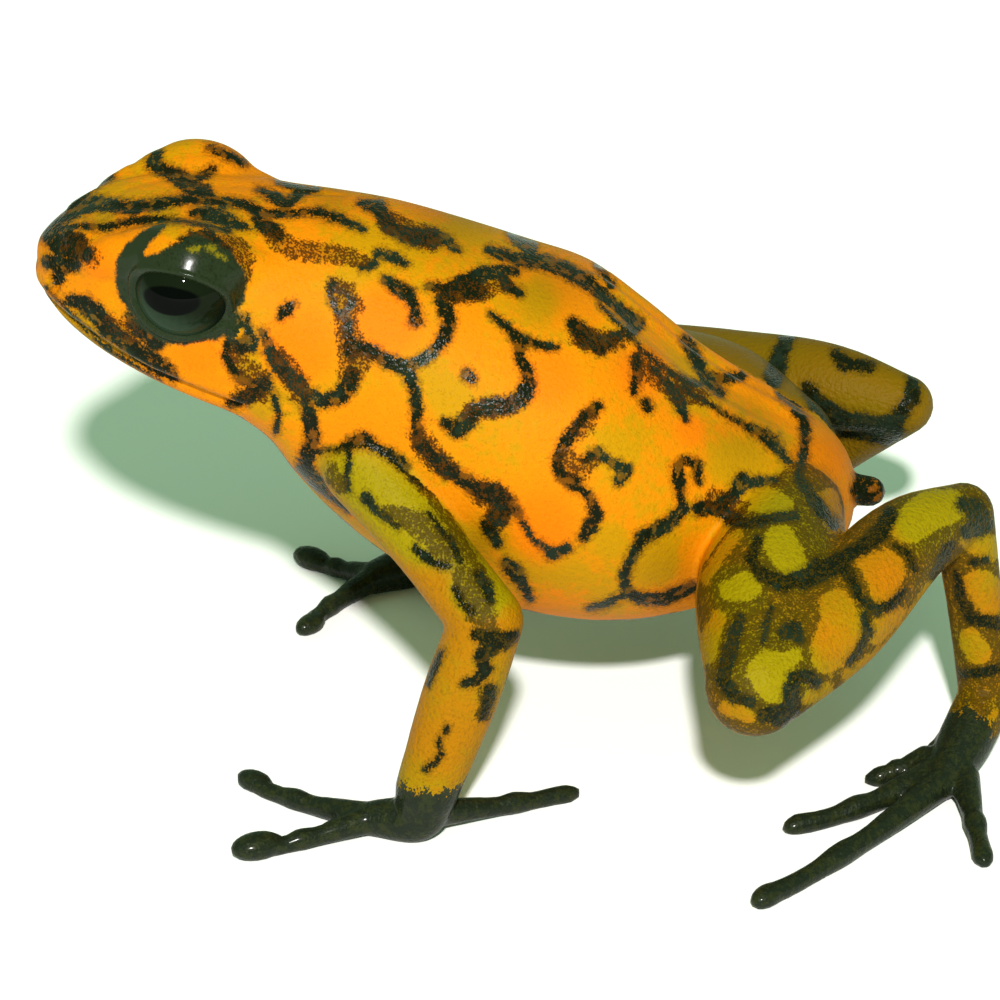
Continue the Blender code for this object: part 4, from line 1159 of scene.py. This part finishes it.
def thinning(points, normals):
    """How freely each point may go. The head, the hands, what the camera sees and the edges go least."""
    _, y, z = points.T
    weight = CALM - LESS_IN_SIGHT * ramp(normals @ -VIEW, *IN_SIGHT)
    weight -= LESS_ON_HEAD * (1 - ramp(y, *HEAD_BACK)) * ramp(z, *HEAD_LOWEST)
    weight -= LESS_ON_HANDS * (1 - ramp(z, *HANDS_TOP))
    weight = np.minimum(weight, CALM - LESS_ON_EDGES * near_edge(points, normals))
    for side in SIDES:
        place, reach, _, _ = lid_place(points, side)
        lids = (1 - ramp(place, *LIDS_FADE)) * (reach < EYE_RADIUS + LIDS_HEIGHT)
        least = LID_THINNING[0] - LID_THINNING[1] * lids
        weight = np.where(lids > 0, np.minimum(weight, least), weight)
    return weight


def triangle_count(piece):
    return sum(len(face.vertices) - 2 for face in piece.data.polygons)


before = triangle_count(skin)
weigh(skin, "thin", thinning(points, normals))
thin = skin.modifiers.new("thin", "DECIMATE")
thin.ratio = min(1.0, SKIN_TRIANGLES / before)
thin.vertex_group = "thin"
thin.vertex_group_factor = 1.0
apply_modifiers(skin)
print("skin triangles", before, "thinned to", triangle_count(skin))
points, normals = read_points(skin)
points[:, 2] = np.maximum(points[:, 2], 0)
write_points(skin, points)

# %% [markdown]
# ## Which part of the frog is this?
# The arm hides some of the flank and the markings on it are its own, so each point of the skin is given to
# the trunk or to a limb: whichever surface it lies closest to. The same distances tell how fully it
# belongs to the limb, from 0 to 1.

# %% Parts of the skin
ARM_ENDS = ((2.0, 1.5), (1.5, 1.25), (1.2, 0.7))
LEG_ENDS = ((2.7, 1.95), (1.95, 1.25), (1.25, 1.15), (1.15, 0.7))
FINGER_ENDS = (0.9, 0.4)
TOE_ENDS = (0.8, 0.4)
PALM_HEIGHT = 0.9
FRONT_HEIGHT = 0.6
TIP_HEIGHT = 0.3
LIMB_BLEND = (-0.2, 1.2)
LIMB_FROM = 0.4


def chain(places, ends, root, tips, digit_ends):
    """A limb as tapered segments: two places and the radius at each. Its digits run from one root."""
    made = [(*pair, *radii) for pair, radii in zip(zip(places, places[1:]), ends)]
    return made + [(root, (*tip[:2], TIP_HEIGHT), *digit_ends) for tip in tips.values()]


LIMBS = {}
for side in SIDES:
    arm, leg = ARMS[side], LEGS[side]
    x, y, _ = arm["wrist"]
    palm, sole = (*PALM_FRONT[side], FRONT_HEIGHT), (*SOLE_FRONT[side], FRONT_HEIGHT)
    places = (*arm.values(), palm)
    root = (x, y - PALM_BEHIND, PALM_HEIGHT)
    LIMBS[side + " arm"] = chain(places, ARM_ENDS, root, FINGERS[side], FINGER_ENDS)
    LIMBS[side + " leg"] = chain((*leg.values(), sole), LEG_ENDS, sole, TOES[side], TOE_ENDS)


def limb_distance(points, pieces):
    """Distance from the nearest of a limb's tapered segments, less its radius there."""
    best = np.full(len(points), FAR_OFF)
    for start, end, thick, thin in pieces:
        start, end = np.array(start, float), np.array(end, float)
        way = end - start
        along = np.clip((points - start) @ way / (way @ way), 0, 1)
        off = np.linalg.norm(points - start - along[:, None] * way, axis=1)
        best = np.minimum(best, off - thick - (thin - thick) * along)
    return best


def trunk_distance(points):
    """How far outside the body's ring at the same place along the back: the superellipse's own measure,
    scaled by the ring's smaller size."""
    rows = np.array(BODY)
    here = (np.interp(points[:, 1], rows[:, 0], row) for row in rows.T[1:])
    top, widest, bottom, half, above, below = here
    up = points[:, 2] - widest
    tall = np.where(up >= 0, top - widest, widest - bottom)
    power = np.where(up >= 0, above, below)
    measure = (np.abs(points[:, 0]) / half) ** power + (np.abs(up) / tall) ** power
    return (measure ** (1 / power) - 1) * np.minimum(half, tall)


points, normals = read_points(skin)
from_trunk = trunk_distance(points)
from_limb = {name: limb_distance(points, pieces) for name, pieces in LIMBS.items()}
nearest_limb = np.min(list(from_limb.values()), axis=0)
limbness = ramp(from_trunk - nearest_limb, *LIMB_BLEND)
owner = {name: (distance <= nearest_limb) & (limbness > LIMB_FROM) for name, distance in from_limb.items()}
print("share of skin on the limbs", round(float(limbness.mean()), 2))

# %% [markdown]
# Now each point of the thinned skin gets its depth inside the black, brown and olive strokes and the ring
# round the eye. Which strokes count depends on the limb that owns the point.

# %% Markings as attributes
def set_attribute(piece, name, values):
    made = piece.data.attributes.new(name, "FLOAT", "POINT")
    made.data.foreach_set("value", np.asarray(values, np.float32))


VENT_DARK_FROM = 14.3
VENT_REACH = 1.3
SPOT_CLEAR = 1.4
SHARED_STROKES = ("hip net", "hip spot", "hip twig", "rump loop", "rump foot")

left_flat = chart(points)
right_flat = chart(swayed(points * MIRROR))
left_seen, right_seen = seen_from(normals, "left"), seen_from(normals, "right")


def both_sides(measure, *tables):
    """A measure of the left chart where the left shows, and of the right one elsewhere on the right."""
    left, right = measure(left_flat, *tables), measure(right_flat, *tables)
    return left * left_seen + right * (1 - left_seen) * right_seen


# the arm's upper edge stroke also paints the shade of the crease onto the trunk
black = both_sides(stroke_depth, {**TRUNK_BLACK, "painted shade above the arm": LEFT_ARM_BLACK["upper edge"]})
brown = both_sides(stroke_depth, TRUNK_BROWN)
ring = both_sides(stroke_depth, EYE_RING)
olive = both_sides(stroke_depth, OLIVE_LID)
drawn = 1 - (1 - left_seen) * (1 - right_seen)

for name, blacks, browns in (
    ("left arm", LEFT_ARM_BLACK, LEFT_ARM_BROWN),
    ("left leg", LEFT_LEG_BLACK, LEFT_LEG_BROWN),
    ("right leg", RIGHT_LEG_BLACK, {}),
):
    mine = owner[name]
    black[mine] = stroke_depth(left_flat[mine], blacks)
    brown[mine] = stroke_depth(left_flat[mine], browns)
    drawn[mine] = left_seen[mine]
mine = owner["left leg"]
brown[mine] = np.maximum(brown[mine], -SPOT_CLEAR * stroke_depth(left_flat[mine], LEFT_LEG_SPOTS))
shared = {name: TRUNK_BLACK[name] for name in SHARED_STROKES}
black[mine] = np.maximum(black[mine], stroke_depth(left_flat[mine], shared))
drawn[owner["right arm"]] = 0
behind = points[:, 1] - VENT_DARK_FROM
vent = (behind > 0) & (np.linalg.norm(points - VENT_TUBE[1], axis=1) < VENT_REACH)
black[vent] = np.maximum(black[vent], behind[vent])
drawn[vent] = 1
print("markings drawn on", round(float(drawn.mean()), 2), "of the skin")

# %% [markdown]
# The deeper orange and the yellow are soft round patches on the chart, given by their middles and sizes.
# The patches of painted shade on the rump, the back, the crown, the groin and behind the arm are given the
# same way; they darken the skin where the lamp reaches it weakly.

# %% Deep orange and yellow patches, and patches of painted shade
PATCH_SPREAD = 1.8
DEEP_ORANGE = {
    "first spot": (388, 322, 34),
    "shoulder": (300, 345, 36),
    "cheek": (200, 355, 26),
    "under the ridge": (640, 372, 26),
    "flank": (545, 520, 34),
    "behind the shoulder": (550, 380, 30),
    "rear flank": (690, 432, 16),
    "snout": (100, 262, 18),
    "shank": (834, 634, 28),
    "shank far": (886, 578, 26),
    "rump": (822, 460, 28),
}
YELLOW = {
    "upper arm": (385, 478, 34),
    "middle of the arm": (425, 530, 30),
    "elbow": (478, 590, 24),
    "shoulder front": (330, 460, 16),
    "knee": (772, 672, 30),
    "thigh": (790, 545, 32),
    "hip": (768, 500, 26),
    "thigh front": (738, 588, 22),
    "shank end": (925, 512, 30),
    "back": (540, 300, 26),
    "brow": (165, 215, 22),
    "snout top": (105, 219, 14),
    "jaw": (262, 405, 16),
    "ear": (246, 366, 14),
    "flank": (610, 540, 22),
    "rear flank": (735, 462, 30),
    "before the leg": (655, 560, 26),
    "behind the arm": (465, 545, 26),
    "side": (450, 400, 22),
}
# painted shade: these patches darken the skin toward olive brown where it lies turned from the lamp
PAINTED_SHADE_PATCHES = {
    "rump": (820, 455, 40),
    "rump top": (745, 430, 36),
    "groin": (670, 570, 34),
    "behind the arm": (470, 545, 30),
    "middle of the back": (545, 290, 30),
    "top of the back": (450, 215, 40),
    "crown": (330, 200, 20),
}


def patches(flat, table):
    """Soft round patches: 1 in the middle of each and 0 at its rim."""
    best = np.zeros(len(flat))
    for across, down, size in table.values():
        off = np.hypot(flat[:, 0] - across, flat[:, 1] - down)
        best = np.maximum(best, dome(off / (size * PATCH_SPREAD)))
    return best


deep = both_sides(patches, DEEP_ORANGE)
yellow = both_sides(patches, YELLOW)
print("patches", len(DEEP_ORANGE) + len(YELLOW) + len(PAINTED_SHADE_PATCHES))

# %% [markdown]
# Hands and feet are black from the wrists and ankles down. The rings round the eyes are dark too, and
# smooth. The far limbs are the darkest: a darker olive of their own with painted shade over it, as they
# turn away from the lamp, and the patches of painted shade are added. Then every marking is written on the
# skin's points under its name.

# %% Black hands and feet, dark eye rings, painted shade
HAND_TOP = {"left arm": 2.75, "right arm": 2.7, "left leg": 1.3, "right leg": 3.2}
BEHIND_TOES = 1.9
FOOT_TOP = 4
RING_REACH = 0.9
RING_PLACE = 1.13
PAINTED_SHADE_SHARE = 0.4

feet = np.full(len(points), OUTSIDE)
for name, height in HAND_TOP.items():
    feet = np.where(owner[name], height - points[:, 2], feet)
ankle = np.array(LEGS["left"]["ankle"][:2])
ahead = (points[:, :2] - ankle) @ unit(np.array(SOLE_FRONT["left"]) - ankle) - BEHIND_TOES
feet = np.where(owner["left leg"] & (points[:, 2] < FOOT_TOP), np.maximum(feet, ahead), feet)
for side in SIDES:
    place, reach, _, _ = lid_place(points, side)
    inside_ring = (RING_PLACE - place) * EYE_RADIUS
    ring = np.maximum(ring, np.where(reach < EYE_RADIUS + RING_REACH, inside_ring, OUTSIDE))
# painted shade: the far right limbs in full, over their own darker olive, and the shade patches in part
shade = np.where(owner["right leg"] | owner["right arm"], 1.0, 0.0)
shade = np.maximum(shade, PAINTED_SHADE_SHARE * both_sides(patches, PAINTED_SHADE_PATCHES))
for name, values in (
    ("black", black),
    ("brown", brown),
    ("drawn", drawn),
    ("feet", feet),
    ("ring", ring),
    ("olive", olive),
    ("shade", shade),
    ("limb", limbness),
    ("deep", deep),
    ("yellow", yellow),
):
    set_attribute(skin, name, values)
print("attributes", len(skin.data.attributes))

# %% [markdown]
# ## Shader sums as Python
# A skin needs many small sums on noises and distances. One small class wraps a shader socket and overloads
# the operators, so that an expression such as depth + noise * 0.3 adds its own Math nodes.

# %% Socket arithmetic
class Value:
    """A shader socket that can stand in Python sums."""

    def __init__(self, graph, socket):
        self.graph = graph
        self.socket = socket

    def __add__(self, other):
        return self.graph.math("ADD", self, other)

    def __sub__(self, other):
        return self.graph.math("SUBTRACT", self, other)

    def __rsub__(self, other):
        return self.graph.math("SUBTRACT", other, self)

    def __mul__(self, other):
        return self.graph.math("MULTIPLY", self, other)

    __radd__ = __add__
    __rmul__ = __mul__


class Graph:
    """The nodes of one material, with a Principled shader at the end."""

    def __init__(self, name):
        self.material = bpy.data.materials.new(name)
        self.material.use_nodes = True
        self.nodes = self.material.node_tree.nodes
        self.links = self.material.node_tree.links
        self.surface = self.nodes["Principled BSDF"]

    def fill(self, node, inputs):
        """Each input is a number, a colour or the value of another node."""
        for key, value in inputs.items():
            if isinstance(value, Value):
                self.links.new(value.socket, node.inputs[key])
            else:
                node.inputs[key].default_value = value

    def add(self, kind, settings, inputs, output=0):
        node = self.nodes.new(kind)
        for key, value in settings.items():
            setattr(node, key, value)
        self.fill(node, inputs)
        return Value(self, node.outputs[output])

    def math(self, operation, *values):
        return self.add("ShaderNodeMath", {"operation": operation}, dict(enumerate(values)))

    def larger(self, first, second):
        return self.math("MAXIMUM", first, second)

    def step(self, value, low, high):
        """Rises smoothly from 0 at low to 1 at high."""
        inputs = {"Value": value, "From Min": low, "From Max": high}
        return self.add("ShaderNodeMapRange", {"interpolation_type": "SMOOTHSTEP"}, inputs)

    def mix(self, share, first, second):
        """A colour between two colours."""
        inputs = {0: share, 6: first, 7: second}
        return self.add("ShaderNodeMix", {"data_type": "RGBA"}, inputs, 2)

    def attribute(self, name):
        return self.add("ShaderNodeAttribute", {"attribute_name": name}, {}, 2)

    def place(self):
        """Places on the piece in mm."""
        spot = self.add("ShaderNodeTexCoord", {}, {}, 3)
        return self.add("ShaderNodeVectorMath", {"operation": "SCALE"}, {0: spot, "Scale": 1 / MM})

    def noise(self, where, size, detail=2.0, roughness=0.5):
        """Cloudy noise about 0, whose clouds are this many mm wide."""
        inputs = {"Vector": where, "Scale": 1 / size, "Detail": detail, "Roughness": roughness}
        return self.add("ShaderNodeTexNoise", {}, inputs) - 0.5

    def cell_edge(self, where, size):
        """Distance from the edges between scattered cells of about this size in mm."""
        inputs = {"Vector": where, "Scale": 1 / size}
        return self.add("ShaderNodeTexVoronoi", {"feature": "DISTANCE_TO_EDGE"}, inputs)

    def bump(self, height, distance):
        """The skin's direction, tilted as if its points stood out by height times this many mm."""
        inputs = {"Height": height, "Distance": distance * MM, "Strength": 1.0}
        return self.add("ShaderNodeBump", {}, inputs)


print("sockets add, subtract and multiply")

# %% [markdown]
# ## The skin's material
# Pigment cells give the frog its colours: orange ones under a net of black ones, which thin out to a brown
# stipple. So the colour is decided twice. First a smooth depth says how far inside a mark a point is, then
# fine noise of a tenth of a millimetre frays the edge. Limbs are more yellow and more finely grained, hands
# and feet are black. The wet shine of the feet and of the rings round the eyes is the shader's coat.

# %% Skin colours
ORANGE = (0.64, 0.182, 0.0003, 1)
DEEP = (0.7, 0.16, 0.0003, 1)
GOLD = (0.44, 0.205, 0.0003, 1)
LIMB_GOLD = (0.275, 0.12, 0.0005, 1)
LIMB_DEEP = (0.42, 0.13, 0.0005, 1)
OLIVE_YELLOW = (0.26, 0.19, 0.0005, 1)
OLIVE_BROWN = (0.13, 0.075, 0.0005, 1)
BLACK = (0.005, 0.007, 0.002, 1)
TEAL_BLACK = (0.011, 0.019, 0.01, 1)
BROWN = (0.06, 0.018, 0.0005, 1)
LIMB_BROWN = (0.045, 0.026, 0.0005, 1)
FOOT_BLACK = (0.008, 0.012, 0.006, 1)
FOOT_OLIVE = (0.018, 0.022, 0.006, 1)
RING_GREY = (0.015, 0.023, 0.009, 1)
LID_OLIVE = (0.2, 0.15, 0.002, 1)
print("ground", ORANGE[:3], "marks", BLACK[:3])

# %% [markdown]
# Three noises serve every step: slow clouds sway the ground's hue, ragged ones bend the edges, and the
# stipple breaks both up. The numbers beside them are shares of how far each noise moves a depth or a
# colour.

# %% Ground colour and black net
RAGGED_SIZE = 0.4
SLOW_SIZE = 4.0
STIPPLE_SIZE = 0.08
COARSE_STIPPLE_SIZE = 0.22
NET_SIZE = 3.6
NET_WARP = 3.0
FRAY = 0.27


def ground_colour(g, limb, slow, ragged, stipple):
    """Orange to gold, more olive on the limbs, with the deep and yellow patches over it, painted shade
    toward olive brown on the far limbs and in the shade patches, and fine olive brown dots.
    """
    yellow = g.step(g.attribute("yellow") + limb * 0.35 + slow * 1.1 + ragged * 0.3, 0.2, 0.8)
    deep = g.step(g.attribute("deep") + slow * 0.9 + ragged * 0.35 - limb * 0.2, 0.15, 0.85)
    colour = g.mix(g.step(slow + ragged * 0.5, -0.12, 0.16), ORANGE, GOLD)
    colour = g.mix(limb * 0.8, colour, LIMB_GOLD)
    colour = g.mix(deep, colour, g.mix(limb, DEEP, LIMB_DEEP))
    colour = g.mix(yellow, colour, g.mix(limb, GOLD, OLIVE_YELLOW))
    # painted shade toward olive brown, on the far limbs over their own darker olive and in the shade
    # patches
    colour = g.mix(g.attribute("shade") * 0.85, colour, OLIVE_BROWN)
    dots = g.step(stipple, 0.02, 0.3) * (0.2 + limb * 0.16)
    return g.mix(dots, colour, OLIVE_BROWN)


def frayed_black(g, where, limb, drawn, slow, ragged, stipple):
    """Depth inside the black strokes, or in a grown net where nothing is drawn, with its edge frayed."""
    warped = g.add("ShaderNodeVectorMath", {"operation": "ADD"}, {0: where, 1: slow * NET_WARP})
    net = 0.4 - g.cell_edge(warped, NET_SIZE) * 3.0 + slow * 0.9 - limb * 0.2
    return g.attribute("black") * drawn + net * (1 - drawn) + ragged * FRAY + stipple * FRAY


print("finest stipple", STIPPLE_SIZE, "mm")

# %% [markdown]
# The pigments go on one over another: the ground with its painted shade, a brown stipple, the black marks
# with a little teal, then the eye ring, the olive of the lid and the black feet. The granules are a bump
# that is highest on the limbs.

# %% Skin material
THIN_SIZE = 0.5
GRANULE_SIZE = 0.17
GRANULE_HEIGHT = 0.08
DRY_ROUGHNESS = 0.58
MARK_SHINE = 0.34


def skin_material():
    """The whole skin's colour, roughness and granules."""
    g = Graph("skin_finish")
    where = g.place()
    ragged = g.noise(where, RAGGED_SIZE, 2.0, 0.6)
    slow = g.noise(where, SLOW_SIZE, 1.0)
    stipple = g.noise(where, STIPPLE_SIZE, 0.0) * 0.8 + g.noise(where, COARSE_STIPPLE_SIZE, 2.0, 0.7) * 1.1
    limb, drawn, feet = g.attribute("limb"), g.attribute("drawn"), g.attribute("feet")

    frayed = frayed_black(g, where, limb, drawn, slow, ragged, stipple)
    thin = g.step(g.noise(where, THIN_SIZE, 1.0) + stipple * 0.3, 0.03, 0.16)
    cover = 1 - g.step(stipple, 0.16, 0.3) * 0.3 - thin * (0.34 - limb * 0.2)
    black = g.step(frayed, -0.06, 0.05) * cover
    brown = g.attribute("brown") * drawn - (1 - drawn) * 0.6 + ragged * 0.36 + stipple * 0.3
    brown = g.step(brown, -0.1, 0.1)
    speckled = g.step(stipple + limb * 0.1, -0.22, 0.08)

    colour = ground_colour(g, limb, slow, ragged, stipple)
    dark = g.mix(limb, BROWN, LIMB_BROWN)
    colour = g.mix(brown * (0.35 - limb * 0.08 + speckled * 0.6), colour, dark)
    colour = g.mix(g.step(frayed, -0.24, -0.04) * 0.4, colour, dark)
    marks = g.mix(g.step(slow + ragged * 0.6, -0.05, 0.2), BLACK, TEAL_BLACK)
    marks = g.mix(brown * g.step(stipple, 0.0, 0.14) * 0.8, marks, dark)
    colour = g.mix(black, colour, marks)
    olive = g.step(g.attribute("olive") + ragged * 0.3 + stipple * 0.3, -0.12, 0.1)
    ring = g.step(g.attribute("ring") + ragged * 0.2 + stipple * 0.12, -0.08, 0.08)
    ring_colour = g.mix(g.step(stipple * 0.6 + slow, -0.1, 0.3) * 0.7, RING_GREY, BLACK)
    colour = g.mix(ring, colour, ring_colour)
    colour = g.mix(olive * 0.85, colour, LID_OLIVE)
    feet = g.step(feet + ragged * 1.2 + stipple * 0.9, -0.1, 0.1)
    foot_colour = g.mix(g.step(ragged + stipple * 0.5, -0.1, 0.2), FOOT_BLACK, FOOT_OLIVE)
    colour = g.mix(feet, colour, foot_colour)

    granules = g.noise(where, GRANULE_SIZE, 1.0, 0.6) * (0.5 + limb * 0.5) * (1 - ring * 0.85)
    shine = g.larger(g.larger(black, ring), limb * 0.2) * MARK_SHINE
    g.fill(g.surface, {
        "Base Color": colour,
        "Roughness": DRY_ROUGHNESS - shine - feet * 0.06,
        "Normal": g.bump(granules, GRANULE_HEIGHT),
        "Specular IOR Level": 0.06,
        "Coat Weight": g.larger(feet * 0.2, ring * 0.12),
        "Coat Roughness": 0.15,
    })
    return g.material


skin.data.materials.clear()
skin.data.materials.append(skin_material())
skin.data.shade_smooth()
print("nodes in the skin's material", len(skin.data.materials[0].node_tree.nodes))

# %% [markdown]
# ## The eyes
# The eyeball is a ball with a slightly steeper cornea in front. The iris is so dark that it looks black at
# first; close to, it is a grey green round a flat black pupil. The pattern lies on the ball, so each point
# carries how far along and how far up the ball it is.

# %% Eyeballs
EYE_RINGS = 72
EYE_SIDES = 96
CORNEA = 0.1
CORNEA_TURN = 1.1
POLE_TURN = 0.004
BALL_SINK = 0.02


def eyeball(side):
    """Rings of a ball about the eye's axis, with the cornea lifted by a smooth hump round the axis."""
    axis = on_side(EYE_AXIS, side)
    level, upright = eye_frame(axis, side)
    angle = np.linspace(POLE_TURN, math.pi - POLE_TURN, EYE_RINGS)[:, None]
    turn = np.linspace(0, 2 * math.pi, EYE_SIDES, endpoint=False)[None, :]
    flat, rise = np.sin(angle) * np.cos(turn), np.sin(angle) * np.sin(turn)
    out = np.broadcast_to(np.cos(angle), flat.shape)
    reach = EYE_RADIUS + CORNEA * dome(angle / CORNEA_TURN) - BALL_SINK
    towards = flat[..., None] * level + rise[..., None] * upright + out[..., None] * axis
    grid = on_side(EYE, side) + towards * reach[..., None]
    faces = ring_faces(EYE_RINGS, EYE_SIDES)
    if side == "left":
        faces = [face[::-1] for face in faces]
    piece = new_piece(side + "_eyeball", grid.reshape(-1, 3) * MM + SHIFT, faces)
    piece.data.shade_smooth()
    set_attribute(piece, "along", flat.ravel())
    set_attribute(piece, "up", rise.ravel())
    return piece


eyeballs = [eyeball(side) for side in SIDES]
print("points in each eyeball", EYE_RINGS * EYE_SIDES)

# %% [markdown]
# The pupil is an ellipse that lies level, a little in front of the ball's middle. The iris is grey green,
# darkened upward by painted shade from the upper lid, so it is lightest low down at the front, and a dark
# rim closes it off.

# %% Eye material
STREAK_SIZE = 0.25
PUPIL_MIDDLE = (-0.06, 0.02)
PUPIL_ALONG = 3.2
PUPIL_UP = 13.0
PUPIL_EDGE = (0.92, 1.1)
RIM_EDGE = (0.8, 0.95)
IRIS_LIGHT = (0.022, 0.041, 0.023, 1)
# painted shade: the iris's colour where the upper lid shades it
IRIS_IN_LID_SHADE = (0.005, 0.008, 0.003, 1)
RIM_BLACK = (0.004, 0.006, 0.004, 1)
PUPIL_BLACK = (0.0008, 0.001, 0.0008, 1)


def eye_material():
    """Pupil, iris and the dark rim, by the distance from the pupil's middle on the ball."""
    g = Graph("eye_finish")
    along, up = g.attribute("along"), g.attribute("up")
    where = g.place()
    streaks = g.noise(where, STREAK_SIZE, 3.0, 0.6)
    off_along, off_up = along - PUPIL_MIDDLE[0], up - PUPIL_MIDDLE[1]
    squares = off_along * off_along * PUPIL_ALONG + off_up * off_up * PUPIL_UP
    pupil = 1 - g.step(g.math("SQRT", squares) + streaks * 0.1, *PUPIL_EDGE)
    away = g.math("SQRT", along * along + up * up)
    # the iris's grey green, darkened toward the top with painted shade from the upper lid
    iris = g.mix(g.step(up + along * 0.5 + streaks * 0.3, -0.75, 0.1), IRIS_LIGHT, IRIS_IN_LID_SHADE)
    colour = g.mix(g.step(away, *RIM_EDGE), iris, RIM_BLACK)
    colour = g.mix(pupil, colour, PUPIL_BLACK)
    g.fill(g.surface, {
        "Base Color": colour,
        "Roughness": 0.3,
        "Coat Weight": 0.12,
        "Coat Roughness": 0.02,
        "Specular IOR Level": 0.0,
    })
    return g.material


eye_finish = eye_material()
for ball in eyeballs:
    ball.data.materials.append(eye_finish)
print("pupil over ball, level and upright", round(PUPIL_ALONG**-0.5, 2), round(PUPIL_UP**-0.5, 2))

# %% [markdown]
# ## Into the frame
# The skin stands for every node of flesh and the two balls for the eyes. The skin's points go from
# millimetres to the frame's metres here, once, so that the object itself stays at the origin.

# %% Replace the nodes
flesh = [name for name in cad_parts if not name.endswith("_eye")]
points, _ = read_points(skin)
write_points(skin, points * MM + SHIFT)
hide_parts(*flesh)
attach(skin, "root")
for ball, side in zip(eyeballs, SIDES):
    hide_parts(side + "_eye")
    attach(ball, "root")
print("skin replaces", len(flesh), "nodes")

# %% [markdown]
# ## Floor, light and camera
# The frog sits on white under one soft lamp above the camera, with a weak greenish light from all round,
# so the shadows are pale grey green and the lit floor is pure white.

# %% Studio
FLOOR_HALF = 2.0
KEY_RISE = math.radians(43)
KEY_TURN = math.radians(0.5)
KEY_DISTANCE = 900.0
KEY_SIZE = 0.055
KEY_POWER = 11.6
KEY_COLOUR = (1.0, 0.97, 0.93)
FLOOR_WHITE = (0.95, 0.95, 0.95, 1)
AMBIENT = (0.28, 0.47, 0.29, 1)
BACKDROP = (1, 1, 1, 1)


def plain_material(name, colour, roughness):
    g = Graph(name)
    g.fill(g.surface, {"Base Color": colour, "Roughness": roughness, "Specular IOR Level": 0.0})
    return g.material


def floor():
    corners = [(x, y, 0) for x, y in ((-1, -1), (1, -1), (1, 1), (-1, 1))]
    made = new_piece("floor", np.array(corners) * FLOOR_HALF, [(0, 1, 2, 3)])
    made.data.materials.append(plain_material("floor_finish", FLOOR_WHITE, 1.0))


def aim(thing, place, target):
    """The object at a place in mm, turned so that its -Z looks at the target and its Y is up."""
    back = unit(np.asarray(place) - target)
    right = unit(np.cross((0, 0, 1), back))
    turn = np.stack([right, np.cross(back, right), back], 1)
    upper_rows = np.column_stack([turn, np.asarray(place) * MM + SHIFT])
    thing.matrix_world = Matrix(np.vstack([upper_rows, (0, 0, 0, 1)]))


def lamp(name, rise, turn, distance, size, power, colour):
    made = bpy.data.objects.new(name, bpy.data.lights.new(name, "AREA"))
    made.data.shape = "DISK"
    made.data.size = size
    made.data.energy = power
    made.data.color = colour
    bpy.context.scene.collection.objects.link(made)
    towards = np.array((math.cos(rise) * math.cos(turn), math.cos(rise) * math.sin(turn), math.sin(rise)))
    aim(made, CAMERA_AIM + towards * distance, CAMERA_AIM)


def surroundings():
    """White where the camera sees it, and a weak green tint as light."""
    world = bpy.data.worlds.new("surroundings")
    world.use_nodes = True
    nodes, links = world.node_tree.nodes, world.node_tree.links
    light, seen = nodes["Background"], nodes.new("ShaderNodeBackground")
    light.inputs["Color"].default_value = AMBIENT
    seen.inputs["Color"].default_value = BACKDROP
    both, path = nodes.new("ShaderNodeMixShader"), nodes.new("ShaderNodeLightPath")
    links.new(path.outputs["Is Camera Ray"], both.inputs[0])
    links.new(light.outputs[0], both.inputs[1])
    links.new(seen.outputs[0], both.inputs[2])
    links.new(both.outputs[0], nodes["World Output"].inputs["Surface"])
    bpy.context.scene.world = world


floor()
lamp("key_light", KEY_RISE, KEY_TURN, KEY_DISTANCE, KEY_SIZE, KEY_POWER, KEY_COLOUR)
surroundings()
bpy.context.scene.view_settings.view_transform = "Standard"
print("lamp", KEY_DISTANCE, "mm from the frog")

# %% [markdown]
# The lens follows from the chart: at the camera's distance, a thousand steps just fill the picture's width.

# %% Camera
camera = bpy.data.objects.new("camera", bpy.data.cameras.new("camera"))
camera.data.sensor_width = SENSOR_WIDTH
camera.data.lens = SENSOR_WIDTH * STEPS_PER_MM * CAMERA_DISTANCE / (2 * CHART_MIDDLE)
camera.data.clip_start = 0.01
camera.data.clip_end = 20
bpy.context.scene.collection.objects.link(camera)
aim(camera, CAMERA_PLACE, CAMERA_AIM)
bpy.context.scene.camera = camera
print("lens", round(camera.data.lens, 1), "mm")
